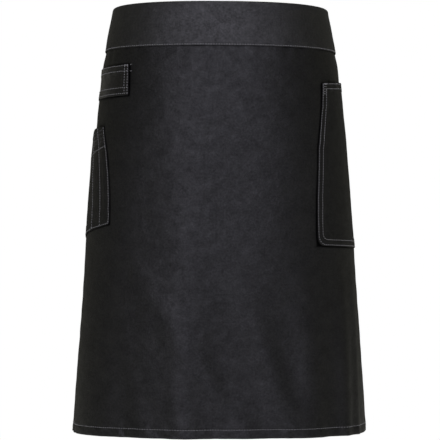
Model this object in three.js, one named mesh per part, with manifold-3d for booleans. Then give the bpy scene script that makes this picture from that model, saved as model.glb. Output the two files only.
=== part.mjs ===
// Mid-length waist apron of black waxed cotton, shown in the form it takes when it is worn.
// Units are millimetres. X points to the viewer's right, the front faces -Y and Z is up.
// The origin is the middle of the waist opening, halfway up the waistband.
//
// A place on the cloth is given by two flat measures: along, the distance round the body
// from centre front, and height, the level above the origin. A third, out, is the distance
// outwards from the body's surface, whose outline is that of the worn apron.

import * as THREE from "three";
import Module from "manifold-3d";
import { mergeVertices } from "three/addons/utils/BufferGeometryUtils.js";

// Cut sizes of the apron
const apronWidth = 700;
const bandHeight = 51;
const skirtLength = 449;
const hemHeight = 10;

// Walls and clearances of the cloth
const clothWall = 1.2;
const bandWall = 1.0;
const loopWall = 1.6;
const tieWall = 1.2;
const innerGap = 0.3;
const patchGap = 0.5;

// Form of the body that the apron wraps
const waistHalfWidth = 127.5;
const hemHalfWidth = 173.4;
const frontDepth = 105;
const backGap = 50;
const frontFullness = 2.35;
const backFullness = 2.2;
const sideDrop = 2;

// Towel loop, on the wearer's right hip
const loopLength = 150;
const loopHeight = 36.4;
const loopForward = 110;
const loopDrop = 19.5;
const loopEndSeam = 12;
const loopBulge = 1.4;

// Pen pocket, below the towel loop
const penWidth = 94;
const penHeight = 112;
const penForward = 135;
const penDrop = 201.5;
const penChannelOne = 17.3;
const penChannelTwo = 36;
const penBulge = 1.5;

// Hip pocket, on the wearer's left hip
const hipWidth = 150;
const hipHeight = 190;
const hipForward = 114;
const hipDrop = 229;
const hipCorner = 9;
const hipBulge = 1.0;

// Ties and their knot at centre back
const tieWidth = 25;
const tieOverlap = 12;
const knotWidth = 24;
const knotHeight = 27;
const knotDepth = 15;
const tailLength = 210;
const tailSplayDegrees = 9;

// Depth of the folds in the skirt, and of the hollows behind the pockets and the loop
const foldDepth = 9;
const pocketRoom = 7.6;

// Worked-out levels and widths
const bandTop = bandHeight / 2;
const bandBottom = -bandHeight / 2;
const hemLevel = bandBottom - skirtLength;
const halfWidth = apronWidth / 2;
const tuckDepth = bandWall + innerGap;
const tieFoot = -tieWidth / 2 - innerGap - sideDrop;

// The body from the top edge down. drop is a share of the whole length, flare a share of the
// way from the waist's half width to the hem's, and front and back are shares of the depths.
const bodySections = [
  { drop: 0.0, flare: 0.0, front: 0.943, back: 0.95 },
  { drop: 0.102, flare: 0.205, front: 0.952, back: 1.0 },
  { drop: 0.205, flare: 0.342, front: 0.981, back: 1.067 },
  { drop: 0.319, flare: 0.487, front: 1.0, back: 1.124 },
  { drop: 0.435, flare: 0.59, front: 1.0, back: 1.152 },
  { drop: 0.663, flare: 0.778, front: 0.99, back: 1.143 },
  { drop: 0.833, flare: 0.905, front: 0.981, back: 1.105 },
  { drop: 1.0, flare: 1.0, front: 0.971, back: 1.076 },
];

// Folds of the skirt, as ridges that start at a share of the skirt's length and deepen to the
// hem. at and lean are shares of the half width, the lean being the ridge's way sideways from
// start to hem, spread is the ridge's half breadth and rise a share of foldDepth.
const foldTable = [
  { at: -0.89, lean: -0.02, spread: 0.08, rise: 0.9, start: 0.3 },
  { at: -0.74, lean: 0.02, spread: 0.085, rise: 0.85, start: 0.35 },
  { at: -0.335, lean: 0.01, spread: 0.06, rise: 0.45, start: 0.5 },
  { at: -0.16, lean: 0.1, spread: 0.06, rise: 0.75, start: 0.55 },
  { at: -0.02, lean: 0.13, spread: 0.055, rise: 0.7, start: 0.42 },
  { at: 0.15, lean: 0.11, spread: 0.052, rise: 0.62, start: 0.5 },
  { at: 0.3, lean: 0.04, spread: 0.05, rise: 0.55, start: 0.42 },
  { at: 0.7, lean: 0.02, spread: 0.085, rise: 0.8, start: 0.55 },
  { at: 0.88, lean: 0.02, spread: 0.08, rise: 0.9, start: 0.3 },
];

// Room behind the pockets and the loop, as hollows pressed into the panel. centre and reach
// are shares of the piece's own length round the body, top and foot shares of its height,
// above and below the distance over which the hollow fades, as shares of that height, and
// depth a share of pocketRoom.
const roomTable = [
  { piece: "loop", centre: 0.69, reach: 0.2, top: 1.08, foot: -0.3, above: 0.3, below: 0.4, depth: 1.05 },
  { piece: "pen", centre: 0.61, reach: 0.34, top: 1.02, foot: 0.7, above: 0.16, below: 0.4, depth: 0.84 },
  { piece: "hip", centre: 0.59, reach: 0.22, top: 1.0, foot: 0.5, above: 0.12, below: 0.35, depth: 1 },
];

// Smooth step from 0 to 1, with flat ends
function ease(value) {
  const t = THREE.MathUtils.clamp(value, 0, 1);
  return t * t * (3 - 2 * t);
}

// Rounded bump of height 1 that ends at -1 and 1
function bump(value) {
  const t = THREE.MathUtils.clamp(value, -1, 1);
  return (1 - t * t) ** 2;
}

// Smooth curve through one column of the body table, at a share of the length
function columnAt(column, drop) {
  const share = THREE.MathUtils.clamp(drop, 0, 1);
  const last = bodySections.length - 1;
  const slope = (index) => {
    const before = bodySections[Math.max(index - 1, 0)];
    const after = bodySections[Math.min(index + 1, last)];
    return (after[column] - before[column]) / (after.drop - before.drop);
  };
  let index = 0;
  while (index < last - 1 && share > bodySections[index + 1].drop) index += 1;
  const low = bodySections[index];
  const high = bodySections[index + 1];
  const span = high.drop - low.drop;
  const t = (share - low.drop) / span;
  const rise = 3 * t ** 2 - 2 * t ** 3;
  const leave = (t ** 3 - 2 * t ** 2 + t) * span * slope(index);
  const arrive = (t ** 3 - t ** 2) * span * slope(index + 1);
  return low[column] * (1 - rise) + high[column] * rise + leave + arrive;
}

// Half outline of the body at one level, from centre front round to centre back, as points
// with the distance walked so far
const ringSteps = 240;
function traceRing(halfAcross, front, back) {
  const points = [];
  let walked = 0;
  for (let step = 0; step <= ringSteps; step += 1) {
    const angle = (Math.PI * step) / ringSteps;
    const cosine = Math.cos(angle);
    const fullness = cosine >= 0 ? frontFullness : backFullness;
    const depth = cosine >= 0 ? front : back;
    const x = halfAcross * Math.abs(Math.sin(angle)) ** (2 / fullness);
    const y = -Math.sign(cosine) * depth * Math.abs(cosine) ** (2 / fullness);
    if (step > 0) walked += Math.hypot(x - points[step - 1].x, y - points[step - 1].y);
    points.push({ x, y, angle, walked });
  }
  return points;
}

// The waist is as deep at the back as its girth asks for: the apron's width and the gap
// between the ends of the waistband
function solveBackDepth() {
  const girth = (apronWidth + backGap) / 2;
  const drop = bandTop / (bandTop - hemLevel);
  const halfAcross = waistHalfWidth + (hemHalfWidth - waistHalfWidth) * columnAt("flare", drop);
  const front = frontDepth * columnAt("front", drop);
  const share = columnAt("back", drop);
  let shallow = 0.2 * halfAcross;
  let deep = 4 * halfAcross;
  const halvings = 40;
  for (let turn = 0; turn < halvings; turn += 1) {
    const middle = (shallow + deep) / 2;
    const ring = traceRing(halfAcross, front, middle * share);
    if (ring[ringSteps].walked > girth) deep = middle;
    else shallow = middle;
  }
  return (shallow + deep) / 2;
}
const backDepth = solveBackDepth();

const ringsByHeight = new Map();
function ringAt(height) {
  if (!ringsByHeight.has(height)) {
    const drop = (bandTop - height) / (bandTop - hemLevel);
    const halfAcross = waistHalfWidth + (hemHalfWidth - waistHalfWidth) * columnAt("flare", drop);
    const front = frontDepth * columnAt("front", drop);
    const back = backDepth * columnAt("back", drop);
    ringsByHeight.set(height, traceRing(halfAcross, front, back));
  }
  return ringsByHeight.get(height);
}

// Point of the body's surface, moved outwards along the level normal
function onBody(along, height, out) {
  const ring = ringAt(height);
  const distance = Math.min(Math.abs(along), ring[ringSteps].walked);
  const side = along < 0 ? -1 : 1;
  let step = 1;
  while (step < ringSteps && ring[step].walked < distance) step += 1;
  const from = ring[step - 1];
  const to = ring[step];
  const t = (distance - from.walked) / (to.walked - from.walked);
  const before = ring[Math.max(step - 2, 0)];
  const after = ring[Math.min(step + 1, ringSteps)];
  const tangent = new THREE.Vector2(
    THREE.MathUtils.lerp(to.x - before.x, after.x - from.x, t),
    THREE.MathUtils.lerp(to.y - before.y, after.y - from.y, t),
  ).normalize();
  if (distance === 0) tangent.set(1, 0);
  const angle = THREE.MathUtils.lerp(from.angle, to.angle, t);
  const x = THREE.MathUtils.lerp(from.x, to.x, t) + tangent.y * out;
  const y = THREE.MathUtils.lerp(from.y, to.y, t) - tangent.x * out;
  const fall = sideDrop * (angle / (Math.PI / 2)) ** 2;
  return new THREE.Vector3(side * x, y, height - fall);
}

// Height of the skirt's folds above the body's surface. Beside each ridge the cloth falls in
// by a share of the ridge's height, over a reach of a few spreads.
const foldTrough = 0.4;
const foldReach = 2.2;
function foldRise(along, height) {
  const share = THREE.MathUtils.clamp((bandBottom - height) / skirtLength, 0, 1);
  let rise = 0;
  for (const fold of foldTable) {
    const grown = (share - fold.start) / (1 - fold.start);
    if (grown <= 0) continue;
    const centre = (fold.at + fold.lean * grown) * halfWidth;
    const offset = (along - centre) / (fold.spread * halfWidth);
    const ridge = Math.exp(-(offset ** 2));
    const trough = foldTrough * Math.exp(-((offset / foldReach) ** 2));
    rise += fold.rise * foldDepth * ease(grown) * (ridge - trough);
  }
  return rise;
}

// The panel's outer face, before the room behind the pockets: inside the waistband it lies
// behind the band's outer layer, and it eases out to the body's outline below
const tuckReach = 16;
function skirtOut(along, height) {
  const tuck = tuckDepth * (1 - ease((bandBottom - height) / tuckReach));
  return foldRise(along, height) - tuck;
}

// Flat frames of the three applied pieces. across runs from the front edge towards the back
// and up from the foot to the top edge. Angles are in degrees.
const hipFrame = {
  side: 1,
  forward: hipForward,
  foot: bandBottom - hipDrop,
  width: hipWidth,
  height: hipHeight,
  lean: 3.2,
  topRise: 4.2,
  footFall: 1.2,
};
const penFrame = {
  side: -1,
  forward: penForward,
  foot: bandBottom - penDrop,
  width: penWidth,
  height: penHeight,
  lean: 7.5,
  topRise: -3.5,
  footFall: 6.1,
};
const loopFrame = {
  side: -1,
  forward: loopForward,
  foot: bandBottom - loopDrop - loopHeight,
  width: loopLength,
  height: loopHeight,
  lean: 0,
  topRise: -0.6,
  footFall: 1.0,
};
const frames = { hip: hipFrame, pen: penFrame, loop: loopFrame };

function tangent(degrees) {
  return Math.tan(THREE.MathUtils.degToRad(degrees));
}

// Flat place of a point of an applied piece, from its shares across and up
function frameToFlat(frame, across, up) {
  const distance = across * frame.width;
  const low = frame.foot - distance * tangent(frame.footFall);
  const high = frame.foot + frame.height + distance * tangent(frame.topRise);
  const height = THREE.MathUtils.lerp(low, high, up);
  const along = frame.side * (frame.forward + distance + (height - frame.foot) * tangent(frame.lean));
  return { along, height };
}

// The shares across and up of a flat place, the reverse of the function above
function flatToFrame(frame, along, height) {
  const distance = frame.side * along - frame.forward - (height - frame.foot) * tangent(frame.lean);
  const low = frame.foot - distance * tangent(frame.footFall);
  const high = frame.foot + frame.height + distance * tangent(frame.topRise);
  return { across: distance / frame.width, up: (height - low) / (high - low) };
}

// Depth of the hollows behind the applied pieces, which end below the waistband
function roomDepth(along, height) {
  const belowBand = ease((bandBottom - height) / loopDrop);
  let depth = 0;
  for (const room of roomTable) {
    const frame = frames[room.piece];
    if (frame.side * along < 0) continue;
    const { across, up } = flatToFrame(frame, along, height);
    const sideways = bump((across - room.centre) / room.reach);
    const upward = ease((room.top + room.above - up) / room.above);
    const downward = ease((up - room.foot + room.below) / room.below);
    depth += room.depth * pocketRoom * sideways * upward * downward;
  }
  return depth * belowBand;
}

// Closed mesh from points and triangles, turned so that its faces point out
function closedGeometry(points, triangles) {
  let volume = 0;
  for (const [a, b, c] of triangles) {
    volume += points[a].dot(points[b].clone().cross(points[c]));
  }
  const index = triangles.flatMap(([a, b, c]) => (volume < 0 ? [a, c, b] : [a, b, c]));
  const geometry = new THREE.BufferGeometry().setFromPoints(points);
  geometry.setIndex(index);
  geometry.computeVertexNormals();
  return geometry;
}

// Sheet with a wall: outer and inner are grids of points, row by row
function sheetGeometry(outer, inner) {
  const rows = outer.length;
  const columns = outer[0].length;
  const points = [...outer.flat(), ...inner.flat()];
  const back = rows * columns;
  const triangles = [];
  const at = (row, column) => row * columns + column;
  const quad = (a, b, c, d) => triangles.push([a, b, c], [a, c, d]);
  for (let row = 0; row < rows - 1; row += 1) {
    for (let column = 0; column < columns - 1; column += 1) {
      const a = at(row, column);
      const b = at(row, column + 1);
      const c = at(row + 1, column + 1);
      const d = at(row + 1, column);
      quad(a, b, c, d);
      quad(back + d, back + c, back + b, back + a);
    }
  }
  const rim = [];
  for (let column = 0; column < columns - 1; column += 1) rim.push(at(0, column));
  for (let row = 0; row < rows - 1; row += 1) rim.push(at(row, columns - 1));
  for (let column = columns - 1; column > 0; column -= 1) rim.push(at(rows - 1, column));
  for (let row = rows - 1; row > 0; row -= 1) rim.push(at(row, 0));
  rim.forEach((from, order) => {
    const to = rim[(order + 1) % rim.length];
    quad(from, back + from, back + to, to);
  });
  return closedGeometry(points, triangles);
}

// Tube of any closed outline: sections are loops of points, and both ends are capped
function sweptGeometry(sections, capTriangles) {
  const sides = sections[0].length;
  const points = sections.flat();
  const triangles = [];
  for (let section = 0; section < sections.length - 1; section += 1) {
    for (let side = 0; side < sides; side += 1) {
      const a = section * sides + side;
      const b = section * sides + ((side + 1) % sides);
      triangles.push([a, b, b + sides], [a, b + sides, a + sides]);
    }
  }
  const last = (sections.length - 1) * sides;
  for (const [a, b, c] of capTriangles) {
    triangles.push([a, c, b], [last + a, last + b, last + c]);
  }
  return closedGeometry(points, triangles);
}

// Evenly spaced numbers, both ends included
function evenly(from, to, count) {
  return Array.from({ length: count + 1 }, (_, step) => from + ((to - from) * step) / count);
}

// Shared stops round the body, from side edge to side edge. A facet lies square on centre
// front. The last three stops on each side mark the turned side hem, and the one before them
// the cut-away corner in which a tie is sewn.
const frontColumns = 19;
const backColumns = 7;
const frontShare = 0.66;
const hemStep = 0.8;
const hemStops = 3;
const narrowHalf = halfWidth - tieOverlap - innerGap;
function alongStops() {
  const facet = (frontShare * halfWidth) / frontColumns;
  const stops = Array.from({ length: frontColumns }, (_, column) => (column + 0.5) * facet);
  const corner = narrowHalf - hemStops * hemStep;
  stops.push(...evenly(stops[frontColumns - 1], corner, backColumns).slice(1));
  const hemEdge = halfWidth - hemHeight;
  stops.push(hemEdge, hemEdge + hemStep, halfWidth);
  return [...stops.map((stop) => -stop).reverse(), ...stops];
}

// Stop of a row inside the waistband, whose last stops end at the cut-away corner
function narrowStop(stop, fromEnd) {
  if (fromEnd >= hemStops) return stop;
  return Math.sign(stop) * (narrowHalf - fromEnd * hemStep);
}

// Waistband: one strip folded over the panel's top edge, so that its section is a narrow U
const bandFold = 1.2;
function waistbandGeometry() {
  const insideOut = -tuckDepth - clothWall - innerGap;
  const section = [
    [0, bandBottom],
    [0, tieFoot],
    [0, 0],
    [0, bandTop - bandFold],
    [-bandWall, bandTop],
    [insideOut, bandTop],
    [insideOut - bandWall, bandTop - bandFold],
    [insideOut - bandWall, 0],
    [insideOut - bandWall, tieFoot],
    [insideOut - bandWall, bandBottom],
    [insideOut, bandBottom],
    [insideOut, tieFoot],
    [insideOut, 0],
    [insideOut, bandTop - bandWall],
    [-bandWall, bandTop - bandWall],
    [-bandWall, 0],
    [-bandWall, tieFoot],
    [-bandWall, bandBottom],
  ];
  const outline = section.map(([out, height]) => new THREE.Vector2(out, height));
  const caps = THREE.ShapeUtils.triangulateShape(outline, []);
  const sections = alongStops().map((along) =>
    section.map(([out, height]) => onBody(along, height, out)),
  );
  return sweptGeometry(sections, caps);
}

// Panel: one wall thick, doubled at the hem and the side hems. Its top corners are cut away
// inside the waistband, where the ties are sewn in.
const skirtRows = 19;
const bandRowBelow = 8;
function panelRows() {
  const top = bandTop - bandWall - innerGap;
  const foot = hemLevel + hemHeight;
  const rows = [
    { height: top, narrow: true, sideHem: false, footHem: false },
    { height: 0, narrow: true, sideHem: false, footHem: false },
    { height: tieFoot, narrow: true, sideHem: false, footHem: false },
    { height: bandBottom, narrow: false, sideHem: false, footHem: false },
  ];
  for (const height of evenly(bandBottom - bandRowBelow, foot, skirtRows)) {
    rows.push({ height, narrow: false, sideHem: true, footHem: false });
  }
  rows.push({ height: foot - hemStep, narrow: false, sideHem: true, footHem: true });
  rows.push({ height: hemLevel, narrow: false, sideHem: true, footHem: true });
  return rows;
}

function panelGeometry() {
  const stops = alongStops();
  const outer = [];
  const inner = [];
  for (const row of panelRows()) {
    const outerRow = [];
    const innerRow = [];
    stops.forEach((stop, column) => {
      const fromEnd = Math.min(column, stops.length - 1 - column);
      const along = row.narrow ? narrowStop(stop, fromEnd) : stop;
      const doubled = row.footHem || (row.sideHem && fromEnd < hemStops - 1);
      const out = skirtOut(along, row.height) - roomDepth(along, row.height);
      outerRow.push(onBody(along, row.height, out));
      innerRow.push(onBody(along, row.height, out - (doubled ? 2 : 1) * clothWall));
    });
    outer.push(outerRow);
    inner.push(innerRow);
  }
  return sheetGeometry(outer, inner);
}

// Share of a pen channel's bulge: nothing on its seams and most between them
function channelBulge(distance, seams) {
  for (let channel = 0; channel < seams.length - 1; channel += 1) {
    const from = seams[channel];
    const to = seams[channel + 1];
    if (distance >= from && distance <= to) return Math.sin((Math.PI * (distance - from)) / (to - from));
  }
  return 0;
}

// Applied piece: a wall that follows the skirt outside its face. stopsAcross and stopsUp are
// shares of its frame, and bulgeAt gives its distance beyond the seam gap.
function appliedGeometry(frame, wall, stopsAcross, stopsUp, bulgeAt, flatAt = frameToFlat) {
  const outer = [];
  const inner = [];
  for (const up of stopsUp) {
    const outerRow = [];
    const innerRow = [];
    for (const across of stopsAcross) {
      const { along, height } = flatAt(frame, across, up);
      const out = skirtOut(along, height) + patchGap + bulgeAt(across, up);
      outerRow.push(onBody(along, height, out + wall));
      innerRow.push(onBody(along, height, out));
    }
    outer.push(outerRow);
    inner.push(innerRow);
  }
  return sheetGeometry(outer, inner);
}

// Towel loop: stitched down at both ends, and standing a little off the skirt at the side
const loopSpans = 14;
const loopBulgeCentre = 0.74;
const loopBulgeReach = 0.36;
function towelLoopGeometry() {
  const seam = loopEndSeam / loopLength;
  const stopsAcross = [0, ...evenly(seam, 1 - seam, loopSpans), 1];
  const bulgeAt = (across) => {
    const sewnDown = ease((1 - seam - across) / seam);
    return loopBulge * sewnDown * bump((across - loopBulgeCentre) / loopBulgeReach);
  };
  return appliedGeometry(loopFrame, loopWall, stopsAcross, evenly(0, 1, 2), bulgeAt);
}

// Pen pocket: two pen channels and a wider one, open at the top edge
const penRows = 8;
const spansPerChannel = 4;
const penMouth = 0.5;
function penPocketGeometry() {
  const seams = [0, penChannelOne, penChannelTwo, penWidth];
  const stopsAcross = [0];
  for (let channel = 0; channel < seams.length - 1; channel += 1) {
    stopsAcross.push(...evenly(seams[channel], seams[channel + 1], spansPerChannel).slice(1));
  }
  const bulgeAt = (across, up) => {
    const open = ease(up / penMouth);
    return penBulge * open * channelBulge(across * penWidth, seams);
  };
  const shares = stopsAcross.map((distance) => distance / penWidth);
  return appliedGeometry(penFrame, clothWall, shares, evenly(0, 1, penRows), bulgeAt);
}

// Hip pocket: open at the top edge, with its front foot corner rounded
const hipColumns = 11;
const hipRows = 11;
const hipClosed = 0.6;
function hipPocketGeometry() {
  const cornerAcross = hipCorner / hipWidth;
  const cornerUp = hipCorner / hipHeight;
  const stopsAcross = [0, ...evenly(cornerAcross, 1, hipColumns)];
  const stopsUp = [0, ...evenly(cornerUp, 1, hipRows)];
  const bulgeAt = (across, up) => {
    const open = ease((up - hipClosed) / (1 - hipClosed));
    return hipBulge * Math.sin(Math.PI * across) * open;
  };
  const inset = 1 - Math.SQRT1_2;
  const flatAt = (frame, across, up) => {
    const isCorner = across === 0 && up === 0;
    if (isCorner) return frameToFlat(frame, inset * cornerAcross, inset * cornerUp);
    return frameToFlat(frame, across, up);
  };
  return appliedGeometry(hipFrame, clothWall, stopsAcross, stopsUp, bulgeAt, flatAt);
}

// Tie: a strap sewn in between the layers of the waistband's end, reaching to the knot
const tieSpans = 5;
function waistTieGeometry(side) {
  const start = halfWidth - tieOverlap;
  const row = (height, out) => {
    const end = ringAt(height)[ringSteps].walked - knotWidth / 2 - innerGap;
    return evenly(start, end, tieSpans).map((along) => onBody(side * along, height, out));
  };
  const edges = [-tieWidth / 2, tieWidth / 2];
  const outer = edges.map((height) => row(height, -tuckDepth));
  const inner = edges.map((height) => row(height, -tuckDepth - tieWall));
  return sheetGeometry(outer, inner);
}

// Solid for joining, from a closed geometry
function toSolid(library, geometry) {
  const bare = geometry.clone();
  bare.deleteAttribute("normal");
  bare.deleteAttribute("uv");
  const merged = mergeVertices(bare);
  const mesh = new library.Mesh({
    numProp: 3,
    vertProperties: new Float32Array(merged.attributes.position.array),
    triVerts: new Uint32Array(merged.index.array),
  });
  return new library.Manifold(mesh);
}

function toGeometry(solid) {
  const mesh = solid.getMesh();
  const geometry = new THREE.BufferGeometry();
  geometry.setAttribute("position", new THREE.BufferAttribute(mesh.vertProperties, 3));
  geometry.setIndex(new THREE.BufferAttribute(mesh.triVerts, 1));
  geometry.computeVertexNormals();
  return geometry;
}

// Tail of a tie: a strap that hangs from the knot down the body's back
const tailSpans = 10;
const tailStandOff = 3;
function tailGeometry(side, layer) {
  const outer = [];
  const inner = [];
  for (const fall of evenly(0, tailLength, tailSpans)) {
    const splay = side * (tieWidth / 4 + fall * tangent(tailSplayDegrees));
    const height = -fall;
    const body = onBody(ringAt(height)[ringSteps].walked, height, tailStandOff + layer);
    const row = [-tieWidth / 2, tieWidth / 2].map((offset) => splay + offset);
    outer.push(row.map((x) => new THREE.Vector3(x, body.y + tieWall, body.z)));
    inner.push(row.map((x) => new THREE.Vector3(x, body.y, body.z)));
  }
  return sheetGeometry(outer, inner);
}

// Knot: a rounded block on the ends of the ties, with the two tails joined to it. One tail
// hangs in front of the other.
const knotEdge = 4;
const tailLayer = 2 * tieWall;
function tieKnotGeometry(library) {
  const centre = onBody(ringAt(0)[ringSteps].walked, 0, -tuckDepth - tieWall / 2);
  const halfX = knotWidth / 2;
  const halfZ = knotHeight / 2;
  const outline = new THREE.Shape();
  outline.absarc(halfX - knotEdge, halfZ - knotEdge, knotEdge, 0, Math.PI / 2);
  outline.absarc(-halfX + knotEdge, halfZ - knotEdge, knotEdge, Math.PI / 2, Math.PI);
  outline.absarc(-halfX + knotEdge, -halfZ + knotEdge, knotEdge, Math.PI, 1.5 * Math.PI);
  outline.absarc(halfX - knotEdge, -halfZ + knotEdge, knotEdge, 1.5 * Math.PI, 2 * Math.PI);
  const bevel = knotEdge / 2;
  const block = new THREE.ExtrudeGeometry(outline, {
    depth: knotDepth - 2 * bevel,
    bevelEnabled: true,
    bevelThickness: bevel,
    bevelSize: bevel,
    bevelOffset: -bevel,
    bevelSegments: 2,
    curveSegments: 3,
  });
  block.translate(0, 0, bevel - knotDepth / 2);
  block.rotateX(Math.PI / 2);
  block.translate(centre.x, centre.y + knotDepth / 4, centre.z);
  const left = toSolid(library, tailGeometry(-1, 0));
  const right = toSolid(library, tailGeometry(1, tailLayer));
  return toGeometry(toSolid(library, block).add(left).add(right));
}

// One material for each piece: the same black cloth, a little glossier on the waistband
function clothMaterial(colour, roughness) {
  return new THREE.MeshStandardMaterial({ color: colour, roughness, metalness: 0 });
}

function addPiece(group, name, geometry, material) {
  const mesh = new THREE.Mesh(geometry, material);
  mesh.name = name;
  group.add(mesh);
}

const library = await Module();
library.setup();

const apron = new THREE.Group();
addPiece(apron, "apron_panel", panelGeometry(), clothMaterial(0x242426, 0.62));
addPiece(apron, "waistband", waistbandGeometry(), clothMaterial(0x29292b, 0.58));
addPiece(apron, "towel_loop", towelLoopGeometry(), clothMaterial(0x252527, 0.6));
addPiece(apron, "pen_pocket", penPocketGeometry(), clothMaterial(0x232325, 0.6));
addPiece(apron, "hip_pocket", hipPocketGeometry(), clothMaterial(0x232325, 0.6));
addPiece(apron, "waist_tie_left", waistTieGeometry(1), clothMaterial(0x222224, 0.66));
addPiece(apron, "waist_tie_right", waistTieGeometry(-1), clothMaterial(0x222224, 0.66));
addPiece(apron, "tie_knot", tieKnotGeometry(library), clothMaterial(0x222224, 0.66));

export default apron;
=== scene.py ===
"""Looks of a mid-length waist apron of black waxed cotton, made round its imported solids.

Lengths are millimetres, and become metres where a mesh is made. A place on the cloth is given
by along, the distance round the body from centre front, height, the level above the origin,
and out, the distance outwards from the body's surface.
"""
import math

import bpy
import numpy as np
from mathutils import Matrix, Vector


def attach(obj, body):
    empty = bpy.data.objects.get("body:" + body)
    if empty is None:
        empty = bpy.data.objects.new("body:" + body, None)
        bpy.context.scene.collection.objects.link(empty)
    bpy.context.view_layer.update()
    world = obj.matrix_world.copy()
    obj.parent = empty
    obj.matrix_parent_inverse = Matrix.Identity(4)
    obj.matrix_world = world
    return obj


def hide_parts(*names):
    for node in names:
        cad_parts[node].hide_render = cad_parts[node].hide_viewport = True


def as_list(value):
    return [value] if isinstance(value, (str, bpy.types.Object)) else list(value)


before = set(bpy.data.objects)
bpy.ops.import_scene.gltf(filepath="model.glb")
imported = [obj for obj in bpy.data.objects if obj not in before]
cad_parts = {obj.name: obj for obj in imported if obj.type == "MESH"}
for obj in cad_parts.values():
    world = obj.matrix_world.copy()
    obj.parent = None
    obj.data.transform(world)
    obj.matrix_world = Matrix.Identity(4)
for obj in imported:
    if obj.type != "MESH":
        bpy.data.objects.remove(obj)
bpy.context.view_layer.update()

MM = 0.001

# Cut sizes of the apron, as in the solids
APRON_WIDTH = 700.0
BAND_HEIGHT = 51.0
SKIRT_LENGTH = 449.0
HEM_HEIGHT = 10.0
BAND_TOP = BAND_HEIGHT / 2
BAND_BOTTOM = -BAND_HEIGHT / 2
HEM_LEVEL = BAND_BOTTOM - SKIRT_LENGTH
HALF_WIDTH = APRON_WIDTH / 2

# Walls and clearances of the cloth
CLOTH_WALL = 1.0
BAND_WALL = 1.0
TIE_WALL = 1.2
TUCK_DEPTH = 1.3
PATCH_WALL = 0.6
PATCH_GAP = 0.1

# Form of the body that the apron wraps, as in the solids
WAIST_HALF_WIDTH = 127.5
HEM_HALF_WIDTH = 173.4
FRONT_DEPTH = 105.0
BACK_GAP = 50.0
FRONT_FULLNESS = 2.35
BACK_FULLNESS = 2.2
SIDE_DROP = 2.0

# The waist sits a little askew: shift to +X, drop and tilt, which fade out below the band
SWAY = 1.0
SWAY_DROP = 0.4
SWAY_TILT = 0.007
SWAY_END = -170.0
SWAY_FADE = 150.0

# The body from the top edge down: share of the length, share of the way from the waist's half
# width to the hem's, and shares of the front and back depths
BODY_SECTIONS = np.array(
    [
        (0.0, 0.0, 0.943, 0.95),
        (0.102, 0.205, 0.952, 1.0),
        (0.205, 0.342, 0.981, 1.067),
        (0.319, 0.487, 1.0, 1.124),
        (0.435, 0.59, 1.0, 1.152),
        (0.663, 0.778, 0.99, 1.143),
        (0.833, 0.905, 0.981, 1.105),
        (1.0, 1.0, 0.971, 1.076),
    ]
)
FLARE, FRONT, BACK = 1, 2, 3

# Folds of the skirt: centre and lean as shares of the half width, spread as a share of it,
# rise as a share of FOLD_DEPTH, and the share of the skirt's length at which the fold starts
FOLD_DEPTH = 9.0
FOLD_TROUGH = 0.4
FOLD_REACH = 2.2
FOLDS = [
    (-0.89, -0.02, 0.08, 0.9, 0.3),
    (-0.74, 0.02, 0.085, 0.85, 0.35),
    (-0.115, 0.0, 0.1, 0.95, 0.0),
    (-0.255, 0.03, 0.06, 0.45, 0.4),
    (-0.17, 0.05, 0.055, 0.5, 0.55),
    (-0.375, 0.46, 0.055, 0.52, 0.45),
    (-0.02, 0.28, 0.05, 0.64, 0.42),
    (0.27, 0.05, 0.055, 0.7, 0.42),
    (-0.105, 0.12, 0.032, 0.22, 0.6),
    (0.1, 0.1, 0.03, 0.2, 0.62),
    (-0.36, 0.1, 0.035, 0.25, 0.55),
    (0.43, 0.02, 0.034, 0.7, 0.42),
    (0.505, 0.01, 0.024, 0.35, 0.45),
    (0.7, 0.02, 0.085, 0.8, 0.55),
    (0.88, 0.02, 0.08, 0.9, 0.3),
]


class Patch:
    """Flat frame of an applied piece, from its front edge back and from its foot up."""

    def __init__(self, side, forward, drop, width, height, lean, top_rise, foot_fall):
        self.side = side
        self.forward = forward
        self.foot = BAND_BOTTOM - drop
        self.width = width
        self.height = height
        self.lean = math.tan(math.radians(lean))
        self.top_rise = math.tan(math.radians(top_rise))
        self.foot_fall = math.tan(math.radians(foot_fall))

    def levels(self, distance):
        """Levels of the foot and the top edge at a distance behind the front edge."""
        low = self.foot - distance * self.foot_fall
        high = self.foot + self.height + distance * self.top_rise
        return low, high

    def to_flat(self, distance, up):
        """Place on the cloth, from the distances behind the front edge and above the foot."""
        low, high = self.levels(distance)
        height = low + (high - low) * up / self.height
        along = self.side * (self.forward + distance + (height - self.foot) * self.lean)
        return along, height

    def from_flat(self, along, height):
        """Shares across and up of a place on the cloth."""
        distance = self.side * along - self.forward - (height - self.foot) * self.lean
        low, high = self.levels(distance)
        return distance / self.width, (height - low) / (high - low)


# Frames of the applied pieces: side, distance of the front edge from centre front, drop of the
# foot below the band, width, height, and lean, rise of the top and fall of the foot in degrees
LOOP = Patch(-1, 110.0, 55.9, 150.0, 36.4, 0.0, -0.6, 1.0)
PEN = Patch(-1, 135.0, 204.5, 94.0, 115.0, 7.5, -3.5, 9.9)
HIP = Patch(1, 114.0, 229.0, 150.0, 190.0, 3.2, 4.2, 1.2)

# Hollows of the panel behind the applied pieces: the piece, centre and reach as shares of its
# width, top and foot as shares of its height, fades above and below, share of ROOM_DEPTH
ROOM_DEPTH = 7.6
ROOM_FADE = 19.5
ROOMS = [
    (LOOP, 0.69, 0.2, 1.08, -0.3, 0.3, 0.4, 1.05),
    (PEN, 0.61, 0.34, 1.02, 0.7, 0.16, 0.4, 0.84),
    (HIP, 0.59, 0.22, 1.0, 0.5, 0.12, 0.35, 1.0),
]


def ease(value):
    """Smooth step from 0 to 1."""
    t = np.clip(value, 0, 1)
    return t * t * (3 - 2 * t)


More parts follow.
